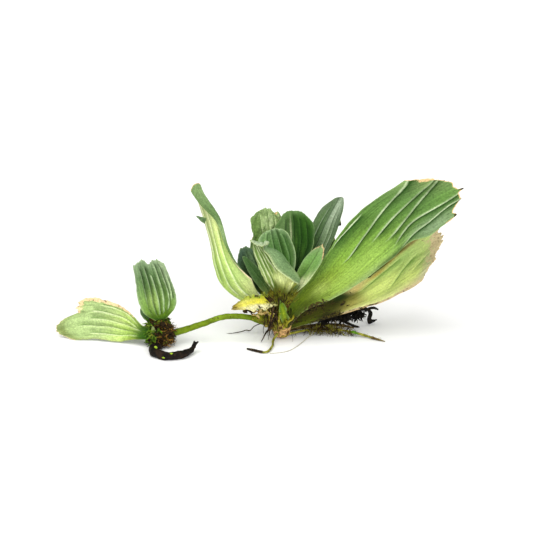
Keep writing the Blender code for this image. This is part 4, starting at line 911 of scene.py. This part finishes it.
runner_green = stem_skin("runner skin", [(80, 98, 8), (98, 120, 12), (114, 138, 28)], 260, specks=0.08)
tubes("runner_skin",
      [drawn([(-2, -1.5, 8), (-7, -3, 9), (-14, -4, 11.8), (-20, -4.5, 12.7), (-26.6, -5, 12.4),
              (-34.3, -5.5, 9.8), (-43.4, -6, 6.7), (-52, -7, 4.5)],
             [1.5, 1.4, 1.3, 1.3, 1.3, 1.35, 1.5, 1.7], 90)],
      runner_green, node="runner", sides=5, rough=0.14)

# The collar is the rough, brownish swelling where the runner comes out of the mother's crown. It is
# one thick, lumpy tube with a bark-like skin, drawn over the runner's base.
collar = crown_skin("runner collar skin", -4, 16, foot=(96, 84, 24), middle=(132, 122, 36),
                    top=(116, 124, 24), flecks=[(52, 34, 10), (170, 142, 76), (100, 112, 16), (122, 88, 34)])
tubes("runner_collar",
      [drawn([(-0.5, -1.5, 8.5), (-5, -3, 10), (-9, -4, 11.4), (-13, -4.6, 12.2)],
             [4.4, 3.4, 2.1, 0.9], 40)],
      collar, sides=6, rough=0.9, seed=4.0)

# The front root comes out of the crown's foot, bends to the left on the surface and ends in a
# dead, dark tip. The thin root and the wavy one are black all along.
olive_root = stem_skin("olive root skin", [(84, 78, 10), (126, 126, 30), (170, 168, 70)], 500, specks=0.06)
dark_root = stem_skin("dark root skin", [(14, 10, 5), (44, 32, 16), (78, 60, 30)], 500, rough=0.7)
front, front_radii = drawn([(-1.2, -1.5, 3.5), (-3.4, -5.5, 1.4), (-3.8, -10.5, 0.9), (-5.4, -16, 0.8),
                            (-7.4, -18, 0.8), (-10.5, -16.5, 0.7), (-15.3, -13.5, 0.6)],
                           [0.6, 0.55, 0.5, 0.5, 0.45, 0.5, 0.3], 60)
dead_from = 42
dead_end = (front[dead_from:] + np.array([0, 0, 0.05]), front_radii[dead_from:] * 1.25)
tubes("front_root_skin", [(front, front_radii)], olive_root, node="front_root", sides=2, rough=0.12)
tubes("front_root_dead_end", [dead_end], dark_root, sides=2, rough=0.15)
tubes("thin_root_skin",
      [drawn([(-2, -3, 7), (-5.6, -6.4, 6.6), (-7.2, -6.4, 4.6), (-8.0, -6.0, 2.6), (-9, -5.5, 0.4)],
             [0.45, 0.45, 0.35, 0.3, 0.12], 40)],
      dark_root, node="thin_root", sides=1, rough=0.12)
tubes("wavy_root_skin",
      [drawn([(-3, 1.5, 6), (-8, 3.5, 6), (-12, 5, 4), (-14, 5.6, 1.6), (-16, 7.6, 0.9), (-18.5, 6.4, 0.6),
              (-23, 5, 0.4), (-25, 5.2, 0.3)], [0.3, 0.25, 0.22, 0.25, 0.2, 0.22, 0.16, 0.06], 60)],
      dark_root, node="wavy_root", sides=1, rough=0.06)

# The feathery root runs out to the right under the old leaf. It carries a mat of fine rootlets,
# olive, brown and dark, one of them curled into a loop, and short ones towards its tip.
chance = random.Random(5)


def strand(start, heading, length, bend, sink):
    """One fibre's points: it sets out in its heading, wanders, and sinks no lower than the floor."""
    steps, lowest = 7, 0.15
    spot, heading = Vector(start), Vector(heading).normalized()
    points = [spot.copy()]
    for _ in range(steps):
        heading += Vector((chance.gauss(0, bend), chance.gauss(0, bend), chance.gauss(0, bend) - sink))
        heading.normalize()
        spot = spot + heading * (length / steps)
        spot.z = max(spot.z, lowest)
        points.append(spot.copy())
    return points


def tapered(points, thick):
    """A strand with its radii, thinning to a quarter at its end."""
    return points, [thick * (1 - 0.75 * i / (len(points) - 1)) for i in range(len(points))]


def anywhere(across, deep, high):
    """A direction drawn from a range for each axis."""
    return Vector((chance.uniform(*across), chance.uniform(*deep), chance.uniform(*high)))


spine, spine_radii = drawn([(2, 0, 2), (8, 2.5, 2.2), (14, 4.5, 2.6), (20, 5, 2.8), (27, 4, 2.5),
                            (34, 2.2, 1.9), (41, -1.2, 1.1), (47.4, -4.8, 0.5)],
                           [0.8, 0.7, 0.5, 0.45, 0.45, 0.6, 0.55, 0.15], 90)
rootlets = []
for _ in range(430):
    k = int(chance.triangular(16, 66, 36))
    heading = anywhere((-0.5, 1.0), (-1, 0.6), (-0.7, 0.9))
    thick = chance.uniform(0.09, 0.22)
    length = chance.uniform(1.8, 6.4) * math.sin(math.pi * k / len(spine))
    rootlets.append(tapered(strand(spine[k], heading, length, 0.55, 0.08), thick))
short_rootlets = []
for _ in range(60):
    k = chance.randrange(60, 84)
    heading = Vector((1, chance.uniform(-0.5, 0.4), chance.uniform(-0.2, 0.3)))
    short_rootlets.append(tapered(strand(spine[k], heading, chance.uniform(1.0, 2.5), 0.25, 0.05), 0.1))
turns = np.linspace(0, 1.9 * math.pi, 24)
loop = [Vector((25.2 + 0.85 * math.cos(turn), 1.5 - 0.3 * math.sin(turn), 2.4 + 0.85 * math.sin(turn)))
        for turn in turns]
olive, brown, dark = rootlets[:109], rootlets[109:269], rootlets[269:]
brown_root = stem_skin("brown root skin", [(48, 36, 14), (88, 70, 32), (126, 110, 52)], 420, specks=0.1)
tubes("feathery_root_skin", [(spine, spine_radii)] + olive + short_rootlets, olive_root,
      node="feathery_root", sides=0)
tubes("feathery_root_brown_rootlets", brown, brown_root, sides=0)
tubes("feathery_root_dark_rootlets", dark + [(loop, [0.24] * len(loop))], dark_root, sides=0)

# One hair-thin, pale root lies loose on the surface. It starts before the front root and runs round
# to the foot of the crown.
hair = stem_skin("pale hair root skin", [(150, 140, 110), (190, 184, 160)], 500)
tubes("pale_hair_root",
      [drawn([(-5, -18.2, 0.3), (0.5, -17, 0.3), (4.5, -14.2, 0.3), (8.6, -7.6, 0.3), (11.7, -1.8, 0.5),
              (15, 3.4, 1.6)], [0.12, 0.14, 0.14, 0.15, 0.16, 0.2], 60)], hair, sides=0)


# The side root lies behind the feathery one, in the shade of the old leaf: brown, with sparse
# rootlets that droop to the surface.
def fibre(start, heading, reach, bend, sink, thick):
    """A tapered strand whose length and thickness are drawn from a range."""
    return tapered(strand(start, heading, chance.uniform(*reach), bend, sink), chance.uniform(*thick))


side, side_radii = drawn([(2.5, 4, 2.4), (11, 8.5, 2.2), (20, 10.5, 2.4), (28, 10.5, 2.2), (34, 9.5, 1.2)],
                         [0.9, 0.9, 0.8, 0.7, 0.3], 50)
side_strands = [(side, side_radii)]
for _ in range(160):
    k = chance.randrange(4, 46)
    heading = anywhere((-0.2, 1.0), (-1, 0.6), (-0.8, 0.6))
    side_strands.append(fibre(side[k], heading, (1.5, 4), 0.4, 0.12, (0.06, 0.14)))
tubes("side_root_skin", side_strands, brown_root, node="side_root", sides=1)

# The dead stalk: a leaf stalk rotted black, arched under the old leaf, with a foot that touches the
# surface, three stubs of side shoots and a fringe of rot.
rotten = stem_skin("rotten stalk skin", [(4, 3, 2), (12, 10, 6), (34, 28, 14)], 420, rough=0.6, bump=0.001)
stalk, stalk_radii = drawn([(1.5, 4, 5.5), (10, 9.8, 5.6), (19, 11.8, 6.6), (27, 12.3, 7), (34, 13.3, 8.2),
                            (39.5, 15, 8.7), (42, 16.5, 6), (41.5, 17.2, 2.8), (42.2, 17.6, 0.8)],
                           [1.0, 1.6, 2.2, 2.3, 1.4, 0.8, 0.9, 1.0, 1.3], 100)
stalk_strands = [(stalk, stalk_radii),
                 drawn([(41, 15.8, 8.4), (43.5, 16.2, 8.6), (45.6, 16.4, 7.6)], [0.7, 0.6, 0.4], 14),
                 drawn([(41.6, 17.2, 1.4), (43.5, 17.4, 1.6), (45.2, 17.6, 2.2)], [0.8, 0.6, 0.3], 12),
                 drawn([(26, 11.8, 5.8), (30, 10.5, 3.8), (34, 9.2, 2.4), (36.5, 8.8, 1.9)],
                       [0.7, 0.7, 0.6, 0.3], 30)]
for _ in range(150):
    k = chance.randrange(8, 64)
    heading = anywhere((-0.6, 0.8), (-1, 0.8), (-0.9, 0.2))
    stalk_strands.append(fibre(stalk[k], heading, (1.8, 4.2), 0.4, 0.15, (0.1, 0.26)))
tubes("dead_stalk_skin", stalk_strands, rotten, node="dead_stalk", sides=2, rough=0.3)

# The curled dead stalk lies before the plantlet: thick, black and wrinkled, pointed at one end, with
# three flecks of living green on it.
curl = drawn([(-54.3, -14.5, 2.2), (-57.2, -16, 1.9), (-56, -21.5, 1.9), (-49.5, -24.8, 1.9),
              (-43, -22.5, 2), (-39.8, -18, 2.3), (-38.6, -15.5, 5)],
             [1.2, 1.9, 2.0, 1.95, 1.7, 1.2, 0.6], 90)
prong = drawn([(-39.4, -17, 3.4), (-38.0, -16.4, 4.6), (-37.0, -16.0, 5.0)], [0.8, 0.6, 0.3], 10)
curl_skin = stem_skin("curled stalk skin", [(5, 3, 2), (18, 11, 7), (46, 32, 20)], 380, rough=0.6,
                      bump=0.001)
tubes("curled_dead_stalk_skin", [curl, prong], curl_skin, node="curled_dead_stalk", sides=5,
      rough=0.45)
lime = stem_skin("living fleck skin", [(120, 150, 20), (150, 180, 40), (176, 200, 80)], 500)
flecks = [drawn([(-56.2, -18.2, 3.4), (-55.9, -19.4, 3.6), (-55.5, -20.4, 3.4)], [0.3, 0.8, 0.3], 8),
          drawn([(-50.0, -25.4, 3.0), (-48.6, -25.6, 3.2), (-47.2, -25.3, 3.1)], [0.3, 0.6, 0.3], 8),
          drawn([(-52.6, -26.0, 1.7), (-52.0, -26.3, 1.7), (-51.4, -26.5, 1.7)], [0.2, 0.4, 0.2], 8)]
tubes("living_flecks", flecks, lime, sides=3)

# The feathery root's outer end: pale rootlets that shorten towards its dead brown tip, and one
# green scrap of leaf caught among them. Its draws are its own: the strands after it keep theirs.
earlier_draws = chance.getstate()
chance.seed(17)
outer = []
for _ in range(150):
    k = int(chance.triangular(50, 84, 62))
    heading = anywhere((0.2, 1.2), (-1, 0.8), (-0.8, 0.7))
    length = chance.uniform(0.8, 2.6) * (92 - k) / 40
    outer.append(tapered(strand(spine[k], heading, length, 0.5, 0.06), 0.11))
chance.setstate(earlier_draws)
tip_from = 77
dead_tip = (spine[tip_from:], [1.25 * thick for thick in spine_radii[tip_from:]])
pale_olive = stem_skin("pale rootlet skin", [(120, 116, 50), (164, 160, 92), (200, 198, 140)], 500)
scrap_green = stem_skin("root scrap skin", [(56, 92, 10), (82, 126, 22), (112, 150, 44)], 500)
scrap = drawn([(31.8, 2.0, 2.2), (33.4, 1.2, 2.6), (35.6, 0.2, 1.9)], [0.2, 0.65, 0.2], 10)
tubes("feathery_root_pale_rootlets", outer, pale_olive, sides=0)
tubes("feathery_root_dead_tip", [dead_tip], brown_root, sides=2, rough=0.1)
tubes("feathery_root_green_scrap", [scrap], scrap_green, sides=3, rough=0.2)

# Rot hangs from the old leaf's lower margin in short black shreds: what is left of older leaves,
# soft and wet, caught under it.
rot_shreds = []
for _ in range(330):
    share = chance.random() ** 1.3
    start = (17 + 21 * share + chance.gauss(0, 0.6), 5.6 + 4.4 * share + chance.gauss(0, 0.8),
             7.5 + 0.5 * share + chance.gauss(0, 0.7))
    heading = (chance.gauss(0.4, 0.6), chance.gauss(-0.2, 0.4), chance.gauss(-0.4, 0.4))
    rot_shreds.append(fibre(start, heading, (1.5, 4.2), 0.5, 0.2, (0.2, 0.6)))
tubes("rotten_shreds", rot_shreds, rotten, sides=1, rough=0.2)

# Olive shreds of old leaf bases stand before the front leaf's foot: the fibres of stalks that
# rotted away. Dark, thicker ones stand among them.
olive_strands = []
for _ in range(70):
    share = chance.random()
    start = (-5.2 + 11 * share, -8.4 - 1.6 * math.sin(math.pi * share), 20.5 + chance.uniform(0, 3.5))
    heading = (1.5 * share - 0.7 + chance.gauss(0, 0.12), -0.14, 1)
    olive_strands.append(fibre(start, heading, (3.5, 8.0), 0.06, 0, (0.1, 0.26)))
olive_tissue = stem_skin("olive tissue skin", [(44, 44, 6), (84, 86, 12), (124, 126, 34), (96, 70, 22)], 420,
                         specks=0.08)
tubes("olive_shreds", olive_strands, olive_tissue, sides=0)
standing = []
for _ in range(28):
    share = chance.random() ** 1.5
    start = (-5.6 + 9 * share, -8.8 - 1.4 * math.sin(math.pi * share), 20 + chance.uniform(0, 3.0))
    heading = (1.5 * share - 0.9 + chance.gauss(0, 0.3), -0.16, 1)
    standing.append(fibre(start, heading, (2, 6.5), 0.2, 0, (0.12, 0.4)))

# Strips of olive and brown tissue run up the crown's front, from its foot to the leaf bases: the
# sides of old leaf stalks, still fixed at both ends.
strips = []
for _ in range(11):
    across = chance.uniform(-5.4, 3.4)
    start = (across, -5.0 - chance.uniform(0, 0.8), chance.uniform(6.5, 9.5))
    heading = (-0.02 * across + chance.gauss(0, 0.2), -0.26, 1)
    points = strand(start, heading, chance.uniform(4, 12), 0.14, 0)
    strips.append((points, [chance.uniform(0.4, 0.85) * (1 - 0.1 * abs(i - 3)) for i in range(len(points))]))
strip_skin = stem_skin("tissue strip skin", [(70, 72, 10), (120, 118, 20), (166, 156, 50), (104, 116, 14)],
                       260, specks=0.06)
tubes("tissue_strips", strips, strip_skin, sides=1, rough=0.2)
hanging = []
for _ in range(14):
    start = (chance.uniform(-7.0, -1.5), -8.6, chance.uniform(15, 20))
    hanging.append(fibre(start, (-0.08, 0.05, -1), (6, 14), 0.14, 0.05, (0.2, 0.42)))

# Dark fibres streak the muddy base of the old leaf along its length: fine dead roots that dried
# onto it.
base_fibres = []
for _ in range(110):
    share = chance.random()
    across = chance.gauss(0, 1.0)
    start = (5 + 17 * share, 4.2 + 3.4 * share + 0.5 * across, 8.6 + 5.6 * share + across)
    base_fibres.append(fibre(start, (1, 0.16, 0.42), (2.5, 8), 0.12, 0, (0.12, 0.34)))
tubes("old_leaf_base_fibres", base_fibres, dark_root, sides=0)

# The shredded leaf bases are one dark mass: the standing shreds, those that hang down the crown's
# left side with one thick strand, and the lumps under the torn leaf base.
thick_strand = drawn([(-3.2, -10.0, 20), (-4.2, -9.8, 15), (-5.0, -8.8, 10), (-5.8, -6.8, 6.8)],
                     [0.4, 0.6, 0.5, 0.45], 24)
lumps = []
for _ in range(12):
    start = (chance.uniform(-17, -12), -9.4, chance.uniform(17.2, 18.6))
    lumps.append(fibre(start, (0.1, 0.1, -1), (1.2, 3), 0.5, 0.05, (0.4, 0.75)))
tubes("shredded_leaf_bases", standing + hanging + [thick_strand] + lumps, dark_root, sides=1,
      rough=0.1)

# Scraps of tan bark lie on the collar, where the skin of the runner's base has burst: short, thick
# flakes that point along the runner.
bark_strands = []
for _ in range(22):
    across = chance.uniform(-13, -4.5)
    start = (across, -8.0, 14.4 + 0.12 * (across + 13) + chance.uniform(0, 2.6))
    heading = (1, 0.1, chance.gauss(-0.3, 0.3))
    bark_strands.append(fibre(start, heading, (1.5, 4), 0.3, 0.02, (0.4, 0.85)))
bark_skin = stem_skin("bark skin", [(84, 58, 20), (150, 122, 54), (206, 184, 120), (130, 128, 40)], 420,
                      specks=0.08)
tubes("bark_scraps", bark_strands, bark_skin, sides=1, rough=0.2)


# Fibres: fine dead roots and threads of old leaf bases that stand out all round both crowns, dark
# ones and paler ones.
def beard(name, count, centre, radii, levels, reach, thick, sink, skin, faces=None):
    """Fibres that start all round a crown and stand or hang outwards; radii are (heights, radii)."""
    lines = []
    for _ in range(count):
        around = chance.gauss(*faces) if faces else chance.uniform(0, math.tau)
        level = chance.uniform(*levels)
        out = Vector((math.cos(around), math.sin(around), 0))
        start = Vector(centre) + out * float(np.interp(level, *radii)) + Vector((0, 0, level))
        heading = out + Vector((chance.gauss(0, 0.4), chance.gauss(0, 0.4), chance.gauss(0, 0.5)))
        lines.append(fibre(start, heading, reach, 0.4, sink, thick))
    tubes(name, lines, skin, sides=0)


crown_foot, crown_girth = (1, 2, 0), ([4, 8, 12, 18, 22], [4.0, 4.6, 5.8, 7.6, 7.8])
beard("crown_fibres", 60, crown_foot, crown_girth, (10, 21), (2, 8), (0.12, 0.4), 0.9, dark_root,
      faces=(-2.5, 0.35))
beard("crown_back_fibres", 260, crown_foot, crown_girth, (5, 21), (2, 8), (0.08, 0.3), 0.7, dark_root,
      faces=(1.4, 1.0))
beard("crown_pale_fibres", 60, crown_foot, crown_girth, (7, 22), (2, 7), (0.06, 0.22), 0.6, olive_root,
      faces=(-2.2, 0.5))
knob_foot, knob_girth = (-54.3, -7.5, 0), ([0, 3, 6, 9, 12], [3.4, 4.6, 4.6, 4.0, 2.6])
beard("plantlet_fibres", 420, knob_foot, knob_girth, (1, 12), (1.5, 5), (0.08, 0.34), 0.15, dark_root)
beard("plantlet_pale_fibres", 90, knob_foot, knob_girth, (2, 12), (1.2, 3.4), (0.1, 0.34), 0.05, olive_root)


# Scraps: flat bits of rotted leaf cling to the plantlet's crown, brown and black ones at the front
# and living green ones on the left, with golden fibres on the right.
def scraps(count, faces, levels, gap, scatter, lift, reach, bend, sink, shapes):
    """Short strands round the plantlet's crown that swell and thin again, one shape after another."""
    lines = []
    for i in range(count):
        around = chance.gauss(*faces)
        level = chance.uniform(*levels)
        out = Vector((math.cos(around), math.sin(around), 0))
        from_axis = gap + 1.2 * math.sin(math.pi * level / 13)
        start = Vector(knob_foot) + Vector((0, 0, level)) + out * from_axis
        heading = out + Vector((chance.gauss(0, scatter), chance.gauss(0, 0.3), chance.gauss(*lift)))
        lines.append((strand(start, heading, chance.uniform(*reach), bend, sink), shapes[i % len(shapes)]))
    return lines


thin_scrap = [0.3, 0.5, 0.6, 0.5, 0.4, 0.3, 0.2, 0.1]
thick_scrap = [0.5, 0.9, 1.0, 0.9, 0.7, 0.45, 0.25, 0.1]
scrap_skin = stem_skin("scrap skin", [(96, 108, 18), (24, 16, 6), (44, 30, 9), (20, 13, 5), (104, 66, 20)],
                       300, rough=0.7)
tubes("plantlet_scraps",
      scraps(70, (-1.6, 1.1), (2, 12.5), 3.4, 0.5, (0.1, 0.7), (2, 4.4), 0.3, 0.05,
             [thin_scrap, thick_scrap, thick_scrap]), scrap_skin, sides=1, rough=0.3)
green_scraps = stem_skin("green scrap skin", [(24, 44, 4), (50, 84, 8), (88, 122, 20), (140, 160, 60)], 420,
                         specks=0.1)
tubes("plantlet_green_scraps",
      scraps(60, (-2.5, 0.42), (1.5, 11.5), 4.0, 0.3, (0.2, 0.6), (2, 5), 0.16, 0.03,
             [[0.4, 0.6, 0.55, 0.45, 0.35, 0.25, 0.2, 0.1]]), green_scraps, sides=1, rough=0.2)
golden = stem_skin("golden fibre skin", [(96, 64, 18), (150, 108, 40), (188, 150, 70)], 500)
golden_girth = ([0, 3, 6, 9, 12], [3.6, 4.8, 4.8, 4.2, 2.8])
beard("plantlet_golden_fibres", 110, knob_foot, golden_girth, (2, 12), (1.5, 4.2), (0.12, 0.32), -0.02,
      golden, faces=(-1.0, 0.7))

# The floor is a plain pale sheet, lit by a large soft lamp high on the left, a wide one from the
# right and an even white surround. The camera looks slightly down, as the photograph does.
bpy.ops.object.select_all(action="DESELECT")
bpy.ops.mesh.primitive_plane_add(size=12, location=(0, 0, 0))
floor = bpy.context.object
floor.name = "floor"
sheet = Nodes("pale sheet")
sheet.shader.inputs["Base Color"].default_value = (0.88, 0.88, 0.878, 1)
sheet.shader.inputs["Roughness"].default_value = 0.9
sheet.shader.inputs["Specular IOR Level"].default_value = 0.1
floor.data.materials.append(sheet.material)

world = bpy.data.worlds.new("white surround")
bpy.context.scene.world = world
world.use_nodes = True
world.node_tree.nodes["Background"].inputs["Color"].default_value = (1.0, 1.0, 1.0, 1)
world.node_tree.nodes["Background"].inputs["Strength"].default_value = 0.5


def lamp(name, place, spread, power, colour):
    """A distant soft lamp that shines from its place towards the plant's foot."""
    light = bpy.data.lights.new(name, "SUN")
    light.angle = math.radians(spread)
    light.energy = power
    light.color = colour
    holder = bpy.data.objects.new(name, light)
    bpy.context.scene.collection.objects.link(holder)
    holder.location = place
    holder.rotation_euler = (Vector((0, 0, 0.02)) - holder.location).to_track_quat("-Z", "Y").to_euler()


lamp("soft lamp", (-0.40, -0.52, 1.1), 56, 2.5, (1.0, 0.99, 0.96))
lamp("fill lamp", (0.60, -0.95, 0.46), 50, 2.1, (0.97, 0.98, 1.0))

ELEVATION = math.radians(20)
DISTANCE = 0.70
target = Vector((-0.0065, 0.0, 0.035))
lens = bpy.data.cameras.new("camera")
lens.lens = 105
lens.sensor_width = 36
lens.clip_start = 0.01
camera = bpy.data.objects.new("camera", lens)
bpy.context.scene.collection.objects.link(camera)
camera.location = target + DISTANCE * Vector((0, -math.cos(ELEVATION), math.sin(ELEVATION)))
camera.rotation_euler = (target - camera.location).to_track_quat("-Z", "Y").to_euler()
bpy.context.scene.camera = camera
bpy.context.scene.view_settings.view_transform = "Standard"
